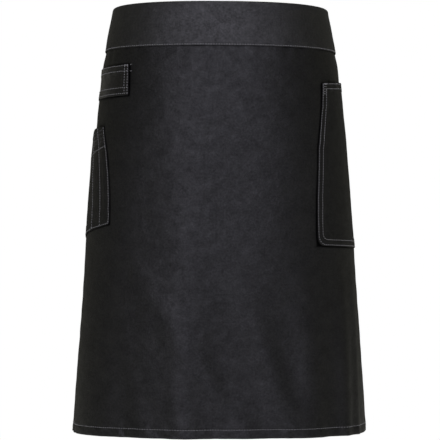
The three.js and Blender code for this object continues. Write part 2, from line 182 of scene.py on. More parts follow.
def bump(value):
    """Rounded bump of height 1 that ends at -1 and 1."""
    t = np.clip(value, -1, 1)
    return (1 - t * t) ** 2


def bell(value):
    """Bell curve of height 1."""
    return np.exp(-(value**2))


def running_sum(steps):
    """Distance walked at each point of a line, from the lengths of its steps."""
    return np.concatenate([[0], np.cumsum(steps)])


def column_at(column, drop):
    """Smooth curve through one column of the body table, at a share of the length."""
    share = np.clip(drop, 0, 1)
    x = BODY_SECTIONS[:, 0]
    y = BODY_SECTIONS[:, column]
    slope = np.empty_like(y)
    slope[1:-1] = (y[2:] - y[:-2]) / (x[2:] - x[:-2])
    slope[0] = (y[1] - y[0]) / (x[1] - x[0])
    slope[-1] = (y[-1] - y[-2]) / (x[-1] - x[-2])
    at = np.clip(np.searchsorted(x, share) - 1, 0, len(x) - 2)
    span = x[at + 1] - x[at]
    t = (share - x[at]) / span
    rise = 3 * t**2 - 2 * t**3
    leave = (t**3 - 2 * t**2 + t) * span * slope[at]
    arrive = (t**3 - t**2) * span * slope[at + 1]
    return y[at] * (1 - rise) + y[at + 1] * rise + leave + arrive


# The body's surface as a table over height and distance, read by interpolation
RING_STEPS = 1400
TABLE_MARGIN = 12.0
TABLE_LOW = HEM_LEVEL - TABLE_MARGIN
TABLE_HIGH = BAND_TOP + TABLE_MARGIN
ROW_STEP = 2.0
ALONG_STEP = 0.75
TABLE_REACH = 450.0

# Search for the depth of the back: its steps, and its limits as shares of the waist's half width
SEARCH_STEPS = 40
SEARCH_SHARES = (0.2, 4.0)


def trace_ring(height, back_depth):
    """Half outline of the body at one level: angle, x, y and the distance walked."""
    drop = (BAND_TOP - height) / (BAND_TOP - HEM_LEVEL)
    half_across = WAIST_HALF_WIDTH + (HEM_HALF_WIDTH - WAIST_HALF_WIDTH) * column_at(FLARE, drop)
    front = FRONT_DEPTH * column_at(FRONT, drop)
    back = back_depth * column_at(BACK, drop)
    angle = np.linspace(0, math.pi, RING_STEPS + 1)
    cosine = np.cos(angle)
    fullness = np.where(cosine >= 0, FRONT_FULLNESS, BACK_FULLNESS)
    depth = np.where(cosine >= 0, front, back)
    x = half_across * np.abs(np.sin(angle)) ** (2 / fullness)
    y = -np.sign(cosine) * depth * np.abs(cosine) ** (2 / fullness)
    return angle, x, y, running_sum(np.hypot(np.diff(x), np.diff(y)))


def solve_back_depth():
    """Depth of the waist's back that gives the girth of the apron and the gap behind it."""
    girth = (APRON_WIDTH + BACK_GAP) / 2
    shallow, deep = (share * WAIST_HALF_WIDTH for share in SEARCH_SHARES)
    for _ in range(SEARCH_STEPS):
        middle = (shallow + deep) / 2
        if trace_ring(0.0, middle)[3][-1] > girth:
            deep = middle
        else:
            shallow = middle
    return (shallow + deep) / 2


def make_body_table():
    back_depth = solve_back_depth()
    heights = np.arange(TABLE_LOW, TABLE_HIGH + ROW_STEP, ROW_STEP)
    places = np.arange(0, TABLE_REACH, ALONG_STEP)
    rows = []
    ends = []
    for height in heights:
        angle, x, y, walked = trace_ring(height, back_depth)
        slope_x = np.gradient(x, walked)
        slope_y = np.gradient(y, walked)
        columns = [np.interp(places, walked, values) for values in (x, y, angle, slope_x, slope_y)]
        rows.append(np.stack(columns, -1))
        ends.append(walked[-1])
    return heights, np.array(rows), np.array(ends)


TABLE_HEIGHTS, BODY_TABLE, RING_ENDS = make_body_table()


def half_girth(height):
    """Distance round the body from centre front to centre back."""
    return np.interp(height, TABLE_HEIGHTS, RING_ENDS)


def on_body(along, height, out):
    """Points of the body's surface, moved outwards along the level normal."""
    along, height, out = np.broadcast_arrays(along, height, out)
    side = np.where(along < 0, -1.0, 1.0)
    row = (height - TABLE_LOW) / ROW_STEP
    place = np.abs(along) / ALONG_STEP
    r = np.clip(np.floor(row).astype(int), 0, BODY_TABLE.shape[0] - 2)
    c = np.clip(np.floor(place).astype(int), 0, BODY_TABLE.shape[1] - 2)
    v = (row - r)[..., None]
    u = (place - c)[..., None]
    low = BODY_TABLE[r, c] * (1 - u) + BODY_TABLE[r, c + 1] * u
    high = BODY_TABLE[r + 1, c] * (1 - u) + BODY_TABLE[r + 1, c + 1] * u
    x, y, angle, slope_x, slope_y = np.moveaxis(low * (1 - v) + high * v, -1, 0)
    size = np.maximum(np.hypot(slope_x, slope_y), 1e-9)
    x = x + out * slope_y / size
    y = y - out * slope_x / size
    fall = SIDE_DROP * (angle / (math.pi / 2)) ** 2
    sway = ease((height - SWAY_END) / SWAY_FADE)
    x = side * x + SWAY * sway
    return np.stack([x, y, height - fall - (SWAY_DROP + SWAY_TILT * x) * sway], -1)


def fold_rise(along, height):
    """Height of the skirt's folds above the body's surface."""
    share = np.clip((BAND_BOTTOM - height) / SKIRT_LENGTH, 0, 1)
    rise = np.zeros(np.broadcast(along, height).shape)
    for at, lean, spread, top, start in FOLDS:
        grown = np.clip((share - start) / (1 - start), 0, 1)
        centre = (at + lean * grown) * HALF_WIDTH
        offset = (along - centre) / (spread * HALF_WIDTH)
        rise += top * FOLD_DEPTH * ease(grown) * (bell(offset) - FOLD_TROUGH * bell(offset / FOLD_REACH))
    return rise


# The panel's top is tucked under the band, and the front of its hem stands out a little
TUCK_REACH = 16.0
HEM_KICK = 5.0
KICK_START = 0.8
KICK_LIMIT = 1.1
KICK_REACH = 170.0


def skirt_out(along, height):
    """The panel's outer face, before the room behind the applied pieces."""
    tuck = TUCK_DEPTH * (1 - ease((BAND_BOTTOM - height) / TUCK_REACH))
    share = (BAND_BOTTOM - height) / SKIRT_LENGTH
    lower = np.clip((share - KICK_START) / (1 - KICK_START), 0, KICK_LIMIT)
    kick = HEM_KICK * lower**2 * bump(along / KICK_REACH)
    return fold_rise(along, height) + kick - tuck


def room_depth(along, height):
    """Depth of the hollows behind the applied pieces, which end below the waistband."""
    depth = np.zeros(np.broadcast(along, height).shape)
    for patch, centre, reach, top, foot, above, below, share in ROOMS:
        across, up = patch.from_flat(along, height)
        sideways = bump((across - centre) / reach)
        upward = ease((top + above - up) / above)
        downward = ease((up - foot + below) / below)
        here = patch.side * along > 0
        depth += np.where(here, share * ROOM_DEPTH * sideways * upward * downward, 0)
    return depth * ease((BAND_BOTTOM - height) / ROOM_FADE)


# Unevenness of the cloth. Rows of height, length, and stretch up the cloth of each set of waves.
WAVE_COUNT = 14
WAVE_SIZES = (0.7, 1.5)
PANEL_UNEVEN = [(0.42, 120.0, 1.6), (0.1, 30.0, 1.0)]
BAND_UNEVEN = [(0.25, 70.0, 2.0), (0.06, 20.0, 1.0)]
PATCH_UNEVEN = [(0.12, 45.0, 1.0), (0.04, 14.0, 1.0)]


def waves(along, height, length, seed, count=WAVE_COUNT, tall=1.0):
    """Smooth seeded unevenness of about one unit, as a sum of waves of like length. tall is how
    much longer the waves are up the cloth than across it."""
    random = np.random.default_rng(seed)
    total = np.zeros(np.broadcast(along, height).shape)
    for _ in range(count):
        angle = random.uniform(0, 2 * math.pi)
        size = 2 * math.pi / (length * random.uniform(*WAVE_SIZES))
        phase = random.uniform(0, 2 * math.pi)
        total += np.sin(size * (math.cos(angle) * along + math.sin(angle) * height / tall) + phase)
    return total * math.sqrt(2 / count)


def uneven(along, height, rows, seed):
    """Sum of several sets of waves, whose seeds follow each other."""
    total = 0
    for order, (rise, length, tall) in enumerate(rows):
        total = total + rise * waves(along, height, length, seed + order, tall=tall)
    return total


# Stitching. A stitching line is a list of points in the flat measures of the piece it crosses.
STITCH_PITCH = 3.0
STITCH_LENGTH = 2.0
THREAD_WIDTH = 0.73
GROOVE_DEPTH = 0.24
GROOVE_WIDTH = 0.95
GROOVE_RIPPLE = 0.25
PUCKER_HEIGHT = 0.2
PUCKER_REACH = 5.5
PUCKER_PITCH = 13.0
PUCKER_SKEW = 0.35
PUCKER_WAVES = 6


def level_lines(levels, start, end):
    """Level stitching lines from start to end."""
    return [[(start, level), (end, level)] for level in levels]


def upright_lines(places, low, high):
    """Upright stitching lines from low to high."""
    return [[(place, low), (place, high)] for place in places]


def walk(points, spacing):
    """Points at an even spacing along a line, with the line's distance at each."""
    points = np.asarray(points, float)
    walked = running_sum(np.hypot(*np.diff(points, axis=0).T))
    count = max(int(round(walked[-1] / spacing)), 1)
    at = np.linspace(0, walked[-1], count + 1)
    found = np.stack([np.interp(at, walked, points[:, axis]) for axis in (0, 1)], -1)
    return found, at


def line_distance(along, height, line):
    """Distance to a line of points, and the place along the line that is nearest."""
    points = np.asarray(line, float)
    best = np.full(np.shape(along), np.inf)
    where = np.zeros(np.shape(along))
    walked = 0.0
    for start, end in zip(points[:-1], points[1:]):
        step = end - start
        length = math.hypot(*step)
        dx = along - start[0]
        dy = height - start[1]
        t = np.clip((dx * step[0] + dy * step[1]) / length**2, 0, 1)
        away = np.hypot(dx - t * step[0], dy - t * step[1])
        nearer = away < best
        best = np.where(nearer, away, best)
        where = np.where(nearer, walked + t * length, where)
        walked += length
    return best, where


def seam_relief(along, height, lines, seed, pucker=PUCKER_HEIGHT):
    """Grooves under the stitches and the puckers beside them."""
    relief = np.zeros(np.shape(along))
    for order, line in enumerate(lines):
        away, where = line_distance(along, height, line)
        ripple = waves(where, away * PUCKER_SKEW, PUCKER_PITCH, seed + order, PUCKER_WAVES)
        relief -= GROOVE_DEPTH * bell(away / GROOVE_WIDTH) * (1 + GROOVE_RIPPLE * ripple)
        relief += pucker * ripple * bell(away / PUCKER_REACH)
    return relief


# Wear along edges and folds: how pale it is and how far it reaches
HEM_WEAR = (0.5, 1.2)
SIDE_WEAR = (0.3, 1.2)
HEM_FOLD_WEAR = (0.2, 1.0)
BAND_TOP_WEAR = (0.6, 2.0)
BAND_FOOT_WEAR = (0.35, 1.0)
PATCH_WEAR = (0.08, 2.5)
PATCH_FOLD_WEAR = (0.06, 1.0)
STRAP_WEAR = (0.4, 0.9)
TAIL_END_WEAR = (0.3, 1.0)


def worn(distance, wear_and_glint):
    """Paleness of the wear at a distance from an edge or a fold."""
    amount, reach = wear_and_glint
    return amount * bell(distance / reach)


# Mesh making
THINNEST_EDGE = 0.06


def new_object(name, points, faces, flat, material, wear_and_glint=None, painted_shadow=None):
    """Smooth mesh from points in millimetres, with a map of the flat measures in metres."""
    mesh = bpy.data.meshes.new(name)
    mesh.from_pydata((np.asarray(points) * MM).tolist(), [], faces)
    mesh.polygons.foreach_set("use_smooth", np.ones(len(mesh.polygons), bool))
    corners = np.empty(len(mesh.loops), int)
    mesh.loops.foreach_get("vertex_index", corners)
    layer = mesh.uv_layers.new(name="flat")
    layer.uv.foreach_set("vector", (np.asarray(flat)[corners] * MM).astype(np.float32).ravel())
    # Layers of paleness, which is worn and on the towel loop also a painted highlight, and of painted shadow
    for title, values in (("wear_and_glint", wear_and_glint), ("painted_shadow", painted_shadow)):
        if values is not None:
            attribute = mesh.attributes.new(title, "FLOAT", "POINT")
            attribute.data.foreach_set("value", np.asarray(values, np.float32).ravel())
    mesh.materials.append(material)
    mesh.update()
    piece = bpy.data.objects.new(name, mesh)
    bpy.context.scene.collection.objects.link(piece)
    return piece


def signed_volume(points, quads):
    a, b, c, d = (points[quads[:, corner]] for corner in range(4))
    return float((a * np.cross(b, c)).sum() + (a * np.cross(c, d)).sum())


def sheet_object(name, outer, inner, flat, material, wear_and_glint, painted_shadow=None):
    """Closed sheet from grids of outer and inner points. Only its outer face takes the painted shadow."""
    rows, columns = outer.shape[:2]
    count = rows * columns
    index = np.arange(count).reshape(rows, columns)
    quads = np.stack([index[:-1, :-1], index[:-1, 1:], index[1:, 1:], index[1:, :-1]], -1).reshape(-1, 4)
    rim = np.concatenate([index[0, :-1], index[:-1, -1], index[-1, :0:-1], index[:0:-1, 0]])
    after = np.roll(rim, -1)
    sides = np.stack([after, rim, rim + count, after + count], -1)
    faces = np.concatenate([quads, count + quads[:, ::-1], sides])
    points = np.concatenate([outer.reshape(-1, 3), inner.reshape(-1, 3)])
    if signed_volume(points, faces) < 0:
        faces = faces[:, ::-1]
    flat = np.concatenate([flat.reshape(-1, 2)] * 2)
    wear_and_glint = np.concatenate([wear_and_glint.ravel()] * 2)
    if painted_shadow is not None:
        painted_shadow = np.concatenate([painted_shadow.ravel(), np.zeros(count)])
    return new_object(name, points, faces.tolist(), flat, material, wear_and_glint, painted_shadow)


def tube_faces(rings, sides):
    """Quads round a tube of rings, and the first and last ring as the caps that close it."""
    index = np.arange(rings * sides).reshape(rings, sides)
    after = np.roll(index, -1, axis=1)
    quads = np.stack([index[:-1], after[:-1], after[1:], index[1:]], -1).reshape(-1, 4)
    return quads, index[:1, ::-1], index[-1:]


def between(low, high, step):
    """Even stops from low to high, about a step apart."""
    count = max(int(round((high - low) / step)), 1)
    return np.linspace(low, high, count + 1)


def merge_stops(*lists):
    """All stops in order, each once."""
    return np.unique(np.round(np.concatenate(lists), 4))


def rounded_edge(distance, radius):
    """Share of the full thickness at a distance from a folded edge, which stays above zero."""
    t = np.clip(distance / radius, 0, 1)
    return np.maximum(np.sqrt(1 - (1 - t) ** 2), THINNEST_EDGE)


# Materials
def node(tree, kind, **values):
    made = tree.nodes.new(kind)
    for name, value in values.items():
        setattr(made, name, value)
    return made


def noise(tree, vector, scale, detail, roughness):
    made = node(tree, "ShaderNodeTexNoise")
    made.inputs["Scale"].default_value = scale
    made.inputs["Detail"].default_value = detail
    made.inputs["Roughness"].default_value = roughness
    tree.links.new(vector, made.inputs["Vector"])
    return made.outputs["Fac"]


def math_node(tree, operation, *values):
    made = node(tree, "ShaderNodeMath", operation=operation)
    for slot, value in enumerate(values):
        if isinstance(value, (int, float)):
            made.inputs[slot].default_value = value
        else:
            tree.links.new(value, made.inputs[slot])
    return made.outputs[0]


def weighted_sum(tree, *pairs):
    """Sum of values, each times its weight."""
    parts = [math_node(tree, "MULTIPLY", value, weight) for value, weight in pairs]
    total = parts[0]
    for part in parts[1:]:
        total = math_node(tree, "ADD", total, part)
    return total


def map_range(tree, value, low, high, to_low, to_high):
    made = node(tree, "ShaderNodeMapRange")
    tree.links.new(value, made.inputs["Value"])
    for name, number in zip(("From Min", "From Max", "To Min", "To Max"), (low, high, to_low, to_high)):
        made.inputs[name].default_value = number
    return made.outputs["Result"]


def mix_colour(tree, factor, first, second):
    made = node(tree, "ShaderNodeMix", data_type="RGBA")
    tree.links.new(factor, made.inputs["Factor"])
    for name, value in (("A", first), ("B", second)):
        socket = [s for s in made.inputs if s.name == name and s.type == "RGBA"][0]
        if isinstance(value, tuple):
            socket.default_value = (*value, 1)
        else:
            tree.links.new(value, socket)
    return [s for s in made.outputs if s.type == "RGBA"][0]


def bump_node(tree, height, strength, distance, normal=None):
    made = node(tree, "ShaderNodeBump")
    made.inputs["Strength"].default_value = strength
    made.inputs["Distance"].default_value = distance
    tree.links.new(height, made.inputs["Height"])
    if normal is not None:
        tree.links.new(normal, made.inputs["Normal"])
    return made.outputs["Normal"]


def attribute(tree, name):
    return node(tree, "ShaderNodeAttribute", attribute_name=name).outputs["Fac"]


def flat_map(tree):
    """The flat map, its Y, and the sum of its X and Y, which runs across a slanting rib."""
    flat = node(tree, "ShaderNodeUVMap", uv_map="flat").outputs["UV"]
    split = node(tree, "ShaderNodeSeparateXYZ")
    tree.links.new(flat, split.inputs[0])
    return flat, split.outputs["Y"], math_node(tree, "ADD", split.outputs["X"], split.outputs["Y"])


def ribs(tree, value, pitch):
    """Even rounded ribs across a value."""
    return math_node(tree, "SINE", math_node(tree, "MULTIPLY", value, 2 * math.pi / pitch))


def new_material(name):
    """Material with nodes: itself, its tree and its shader."""
    material = bpy.data.materials.new(name)
    material.use_nodes = True
    return material, material.node_tree, material.node_tree.nodes["Principled BSDF"]


# Noises of the wax: scale for each metre, detail and roughness
BROAD_NOISE = (45.0, 3.0, 0.6)
PATCHY_NOISE = (110.0, 5.0, 0.7)
SPECK_NOISE = (420.0, 3.0, 0.6)
CREASE_NOISE = (75.0, 6.0, 0.66)
THREAD_NOISE = (900.0, 2.0, 0.5)

# Weights of the noises in the mottling, and the ranges of it and of a noise, as they are mapped
BROAD_WEIGHT = 0.8
PATCHY_WEIGHT = 1.05
SPECK_WEIGHT = 1.3
DULL_MAP = (0.72, 2.42, 0.8, 0.35)
LEVEL_RANGE = (0.58, 2.58)
# Patchiness of the worn paleness and of the painted highlight
WEAR_AND_GLINT_MAP = (0.35, 0.65, 0.35, 1.0)
NOISE_RANGE = (0.3, 0.7)
ROUGH_SPREAD = 0.05

# Painted shade in hollows: reach in metres, how open the place is against how light it shows, and the colour
# of the painted shade
PAINTED_OCCLUSION_REACH = 0.004
PAINTED_OCCLUSION_MAP = (0.35, 0.9, 0.06, 1.0)
PAINTED_SHADE_COLOUR = (0.0008, 0.0008, 0.0008)

# Weave and thread in metres, and bumps as strength and depth
TWILL_PITCH = 0.00125
PICK_PITCH = TWILL_PITCH / 2.1
PICK_SHARE = 0.45
PLY_PITCH = 0.0005
CREASE_BUMP = (0.6, 0.0015)
WEAVE_BUMP = (0.6, 0.00006)
SPECK_BUMP = (0.4, 0.0003)
PLY_BUMP = (0.5, 0.00005)
SHEEN_ROUGHNESS = 0.5
THREAD_DARK = (0.3, 0.3, 0.3)
THREAD_LIGHT = (0.5, 0.5, 0.51)
THREAD_ROUGHNESS = (0.52, 0.4)
THREAD_SHEEN = 0.15


def waxed_cloth(name, dark, light, roughness, gloss, sheen=0.03, paler=3.6):
    """Black waxed cotton: fine twill, mottled gloss of the wax, paler worn places and on the towel loop a
    painted highlight, and painted shade in hollows and painted shadows.
    """
    material, tree, shader = new_material(name)
    flat, rise, slant = flat_map(tree)
    broad = noise(tree, flat, *BROAD_NOISE)
    patchy = noise(tree, flat, *PATCHY_NOISE)
    speck = noise(tree, flat, *SPECK_NOISE)
    # Painted shade: occlusion and the painted shadow darken the colour and dim the gloss
    painted_occlusion = node(tree, "ShaderNodeAmbientOcclusion", samples=4)
    painted_occlusion.inputs["Distance"].default_value = PAINTED_OCCLUSION_REACH
    open_share = map_range(tree, painted_occlusion.outputs["AO"], *PAINTED_OCCLUSION_MAP)
    clear = math_node(tree, "SUBTRACT", 1.0, attribute(tree, "painted_shadow"))
    shade = math_node(tree, "MULTIPLY", open_share, clear)
    mottle = weighted_sum(tree, (patchy, PATCHY_WEIGHT), (speck, SPECK_WEIGHT), (broad, BROAD_WEIGHT))
    colour = mix_colour(tree, map_range(tree, mottle, *DULL_MAP), dark, light)
    # Worn paleness, and on the towel loop a painted highlight
    wear_and_glint_share = math_node(tree, "MULTIPLY", attribute(tree, "wear_and_glint"), map_range(tree, patchy, *WEAR_AND_GLINT_MAP))
    colour = mix_colour(tree, wear_and_glint_share, colour, tuple(paler * part for part in light))
    # Painted shade mixed into the colour
    colour = mix_colour(tree, shade, PAINTED_SHADE_COLOUR, colour)
    tree.links.new(colour, shader.inputs["Base Color"])
    rough = map_range(tree, patchy, *NOISE_RANGE, roughness + ROUGH_SPREAD, roughness - ROUGH_SPREAD)
    tree.links.new(rough, shader.inputs["Roughness"])
    shader.inputs["Specular IOR Level"].default_value = gloss
    # Gloss dimmed in the painted shade
    level = math_node(tree, "MULTIPLY", map_range(tree, mottle, *LEVEL_RANGE, 0.0, 2 * gloss), shade)
    tree.links.new(level, shader.inputs["Specular IOR Level"])
    shader.inputs["Sheen Weight"].default_value = sheen
    shader.inputs["Sheen Roughness"].default_value = SHEEN_ROUGHNESS
    twill = ribs(tree, slant, TWILL_PITCH)
    picks = math_node(tree, "MULTIPLY", ribs(tree, rise, PICK_PITCH), PICK_SHARE)
    normal = bump_node(tree, noise(tree, flat, *CREASE_NOISE), *CREASE_BUMP)
    normal = bump_node(tree, math_node(tree, "ADD", twill, picks), *WEAVE_BUMP, normal)
    normal = bump_node(tree, speck, *SPECK_BUMP, normal)
    tree.links.new(normal, shader.inputs["Normal"])
    return material


def thread_material():
    """Grey thread, whose plies slant across it."""
    material, tree, shader = new_material("grey_thread")
    flat, _, slant = flat_map(tree)
    shade = noise(tree, flat, *THREAD_NOISE)
    colour = mix_colour(tree, map_range(tree, shade, *NOISE_RANGE, 0.0, 1.0), THREAD_DARK, THREAD_LIGHT)
    tree.links.new(colour, shader.inputs["Base Color"])
    rough = map_range(tree, shade, *NOISE_RANGE, *THREAD_ROUGHNESS)
    tree.links.new(rough, shader.inputs["Roughness"])
    shader.inputs["Sheen Weight"].default_value = THREAD_SHEEN
    tree.links.new(bump_node(tree, ribs(tree, slant, PLY_PITCH), *PLY_BUMP), shader.inputs["Normal"])
    return material


# Cloths: name, colour where the wax is glossy and where it is dull, roughness and gloss
WAX_DARK = (0.0045, 0.0045, 0.0047)
POCKET_DARK = (0.005, 0.005, 0.005)
TIE_DARK = (0.009, 0.009, 0.0094)
PANEL_CLOTH = waxed_cloth("waxed_panel", WAX_DARK, (0.0127, 0.0127, 0.0131), 0.49, 0.54)
BAND_CLOTH = waxed_cloth("waxed_band", WAX_DARK, (0.015, 0.015, 0.0154), 0.58, 0.97)
POCKET_CLOTH = waxed_cloth("waxed_pocket", POCKET_DARK, (0.0145, 0.0145, 0.0145), 0.52, 0.42)
# The towel loop's paler colour also serves as its painted highlight
LOOP_CLOTH = waxed_cloth("waxed_loop", POCKET_DARK, (0.016, 0.0157, 0.015), 0.5, 0.45, paler=11.0)
TIE_CLOTH = waxed_cloth("strap_twill", TIE_DARK, (0.016, 0.016, 0.0167), 0.66, 0.45, sheen=0.08)
THREAD = thread_material()

# Applied pieces: stops of the mesh behind each edge, the turned edge and how it fades
EDGE_STOPS = np.array([0, 0.12, 0.45, 1.0, 1.5, 2.1, 2.8, 3.8, 5.0, 6.2, 7.2, 8.0, 8.8, 9.8, 10.8, 12.0])
EDGE_ZONE = 14.0
EDGE_RADIUS = 1.1
TURNED_EDGE = 10.5
TURN_END = TURNED_EDGE + 0.6
TURN_FADE = 1.6
TURN_SHARE = 0.7
PATCH_PUCKER = 0.13
INNER_ROUNDING = 0.35
SMALL_CORNER = 1.6
CORNER_POINTS = 7
PATCH_SEED_STEP = 50

# Painted shadow: dark lines painted where a piece lies on the panel and along its own edges, and a pale band
# of painted highlight on the towel loop, in shares of the piece's width
EDGE_PAINTED_SHADE = 0.85
EDGE_PAINTED_SHADE_REACH = 0.55
PAINTED_SHADOW_DARK = 0.92
PAINTED_SHADOW_ABOVE = 0.7
GLINT_AND_SHADOW_CENTRE = 0.42
GLINT_WIDTH = 0.17
SHADOW_SPREAD_REACH = 0.36
FAR = 1000.0


def edge_stops(length, step):
    """Stops over a length, close at both of its ends."""
    return merge_stops(EDGE_STOPS, between(EDGE_ZONE, length - EDGE_ZONE, step), length - EDGE_STOPS)


class Applied:
    """An applied piece. corner is the radius of its front corner at the foot, lines are its
    stitching, bulge gives how far it stands out, bow is how its front edge curves as pairs of
    level and shift, then come the reach of the painted shadow beside it and how much wider that
    shadow grows in its middle, and the strength of a pale band of painted highlight across it."""

    def __init__(self, patch, corner, lines, bulge, step, seed, painted_shadow, bow=((0, 0.0),), shadow_spread=0.0, painted_glint=0.0):
        self.patch = patch
        self.corners = {(0, 0): corner, (1, 0): SMALL_CORNER, (0, 1): SMALL_CORNER, (1, 1): SMALL_CORNER}
        self.lines = lines
        self.bulge = bulge
        self.step = step
        self.seed = seed
        self.painted_shadow = painted_shadow
        self.bow = bow
        self.shadow_spread = shadow_spread
        self.painted_glint = painted_glint

    def bow_at(self, up):
        """Shift of the front edge at a level above the foot."""
        return np.interp(up, *zip(*self.bow))

    def from_edge(self, distance, up):
        return np.minimum.reduce([distance, self.patch.width - distance, up, self.patch.height - up])

    def rounded(self, distance, up):
        """Moves the points near each corner so that the corner is a quarter circle."""
        width, tall = self.patch.width, self.patch.height
        for (back, top), radius in self.corners.items():
            from_side = width - distance if back else distance
            from_end = tall - up if top else up
            a = np.clip(1 - from_side / radius, 0, 1)
            b = np.clip(1 - from_end / radius, 0, 1)
            inside = (a > 0) & (b > 0)
            from_side = np.where(inside, radius * (1 - a * np.sqrt(1 - b * b / 2)), from_side)
            from_end = np.where(inside, radius * (1 - b * np.sqrt(1 - a * a / 2)), from_end)
            distance = width - from_side if back else from_side
            up = tall - from_end if top else from_end
        return distance, up

    def place(self, distance, up):
        """Place on the cloth, with the front edge's soft curve."""
        distance, up = self.rounded(distance, up)
        return self.patch.to_flat(distance + self.bow_at(up) * (1 - distance / self.patch.width), up)

    def outside(self, along, height):
        """Distance outside the piece, negative behind it, and the painted shadow beside it."""
        across, up = self.patch.from_flat(along, height)
        level = up * self.patch.height
        distance = across * self.patch.width - self.bow_at(level)
        beside = np.maximum.reduce([-distance, distance - self.patch.width, -level])
        above = level - self.patch.height
        # Painted shadow beside the piece, wider in its middle, and fading above its top
        spread = self.painted_shadow * (1 + self.shadow_spread * bump((across - GLINT_AND_SHADOW_CENTRE) / SHADOW_SPREAD_REACH))
        shade = bell(np.maximum(beside, 0) / spread) * bell(np.maximum(above, 0) / PAINTED_SHADOW_ABOVE)
        here = self.patch.side * along > 0
        return np.where(here, np.maximum(beside, above), FAR), np.where(here, shade, 0)

    def face(self, distance, up):
        """Offset of the inner face, thickness, and relief of the outer face."""
        along, height = self.place(distance, up)
        turned = ease((TURN_END - self.from_edge(distance, up)) / TURN_FADE)
        thick = PATCH_WALL * (1 + TURN_SHARE * turned)
        relief = seam_relief(distance, up, self.lines, self.seed, PATCH_PUCKER)
        relief += uneven(distance, up, PATCH_UNEVEN, self.seed + PATCH_SEED_STEP)
        bulge = self.bulge(distance / self.patch.width, up / self.patch.height)
        return skirt_out(along, height) + PATCH_GAP + bulge, thick, relief

    def make(self, name, material):
        columns = edge_stops(self.patch.width, self.step)
        rows = edge_stops(self.patch.height, self.step)
        distance, up = np.meshgrid(columns, rows)
        along, height = self.place(distance, up)
        base, thick, relief = self.face(distance, up)
        from_edge = self.from_edge(distance, up)
        share = rounded_edge(from_edge, EDGE_RADIUS)
        half = 0.5 * thick * (1 - share)
        outer = on_body(along, height, base + thick - half + relief * share)
        inner = on_body(along, height, base + INNER_ROUNDING * half)
        wear_and_glint = worn(from_edge, PATCH_WEAR) + worn(from_edge - TURNED_EDGE, PATCH_FOLD_WEAR)
        # Painted highlight: a pale band across the towel loop that stands in for its glint, added to the
        # worn paleness
        wear_and_glint = wear_and_glint + self.painted_glint * bell((distance / self.patch.width - GLINT_AND_SHADOW_CENTRE) / GLINT_WIDTH)
        # Painted shade along the piece's own edges
        painted_shadow = EDGE_PAINTED_SHADE * bell(from_edge / EDGE_PAINTED_SHADE_REACH)
        return sheet_object(name, outer, inner, np.stack([along, height], -1), material, wear_and_glint, painted_shadow)


def framed_lines(patch, inset, radius):
    """Stitching inset from all four edges, with a round front corner at the foot."""
    right, top = patch.width - inset, patch.height - inset
    turn = np.linspace(math.pi, 1.5 * math.pi, CORNER_POINTS)
    corner = [(inset + radius * (1 + math.cos(a)), inset + radius * (1 + math.sin(a))) for a in turn]
    front = [(inset, top)] + corner + [(right, inset)]
    return [front, [(right, inset), (right, top)], [(inset, top), (right, top)]]


# Stitching of the applied pieces, in distances behind the front edge and above the foot
HIP_CORNER = 9.0
PEN_CORNER = 5.0
PEN_CHANNELS = (17.3, 36.0)
LOOP_LINES = level_lines((35.0, 28.6, 9.4, 2.8), 1.5, 148.5)
LOOP_LINES += upright_lines((1.8, 6.4, 148.2, 143.6), 1.2, 35.6)
HIP_LINES = framed_lines(HIP, 1.6, HIP_CORNER) + framed_lines(HIP, 7.4, 6.5)
PEN_LINES = upright_lines([2.0], 2.0, 114.0) + level_lines([2.0], 2.0, 92.0)
PEN_LINES += upright_lines((92.0, *PEN_CHANNELS), 2.0, 114.0) + [[(2.0, 91.0), (92.0, 81.0)]]

# How far the applied pieces stand out or lie flat, with places as shares of their sizes
LOOP_SINK = 1.9
LOOP_SEAM = 0.08
LOOP_CENTRE = 0.69
LOOP_SPAN = 0.27
PEN_FULLNESS = 0.5
PEN_FADE = 0.5
HIP_FULLNESS = 1.0
HIP_RISE = 0.6


def loop_bulge(across, up):
    away = ease((1 - LOOP_SEAM - across) / LOOP_SEAM)
    return -LOOP_SINK * away * bump((across - LOOP_CENTRE) / LOOP_SPAN)


def pen_bulge(across, up):
    """A soft round for each channel, which fades towards the foot."""
    seams = np.array([0.0, *PEN_CHANNELS, PEN.width]) / PEN.width
    total = np.zeros(np.shape(across))
    for low, high in zip(seams[:-1], seams[1:]):
        inside = (across >= low) & (across <= high)
        total = np.where(inside, np.sin(math.pi * (across - low) / (high - low)), total)
    return PEN_FULLNESS * ease(up / PEN_FADE) * total


def hip_bulge(across, up):
    return HIP_FULLNESS * np.sin(math.pi * across) * ease((up - HIP_RISE) / (1 - HIP_RISE))


PEN_BOW = [(0, -1.0), (15, -2.9), (33, -5.0), (52, -6.2), (70, -6.0), (89, -4.6), (107, -1.8), (115, -1.0)]
HIP_BOW = [(0, 2.5), (25, 0.6), (55, -1.0), (90, -1.2), (112, -2.2), (142, 0.3), (162, 1.8), (190, 1.6)]
# The towel loop carries a painted highlight, and its painted shadow is wider in the middle
TOWEL_LOOP = Applied(LOOP, SMALL_CORNER, LOOP_LINES, loop_bulge, 1.6, 81, 1.5, shadow_spread=1.4, painted_glint=0.75)
PEN_POCKET = Applied(PEN, PEN_CORNER, PEN_LINES, pen_bulge, 1.7, 82, 1.2, PEN_BOW)
HIP_POCKET = Applied(HIP, HIP_CORNER, HIP_LINES, hip_bulge, 2.2, 83, 1.6, HIP_BOW)


def outside_pieces(along, height):
    """Distance outside the nearest applied piece, negative behind it, and the painted shadow beside it."""
    found = [piece.outside(along, height) for piece in (TOWEL_LOOP, PEN_POCKET, HIP_POCKET)]
    away, shade = (np.array(values) for values in zip(*found))
    return away.min(axis=0), PAINTED_SHADOW_DARK * shade.max(axis=0)


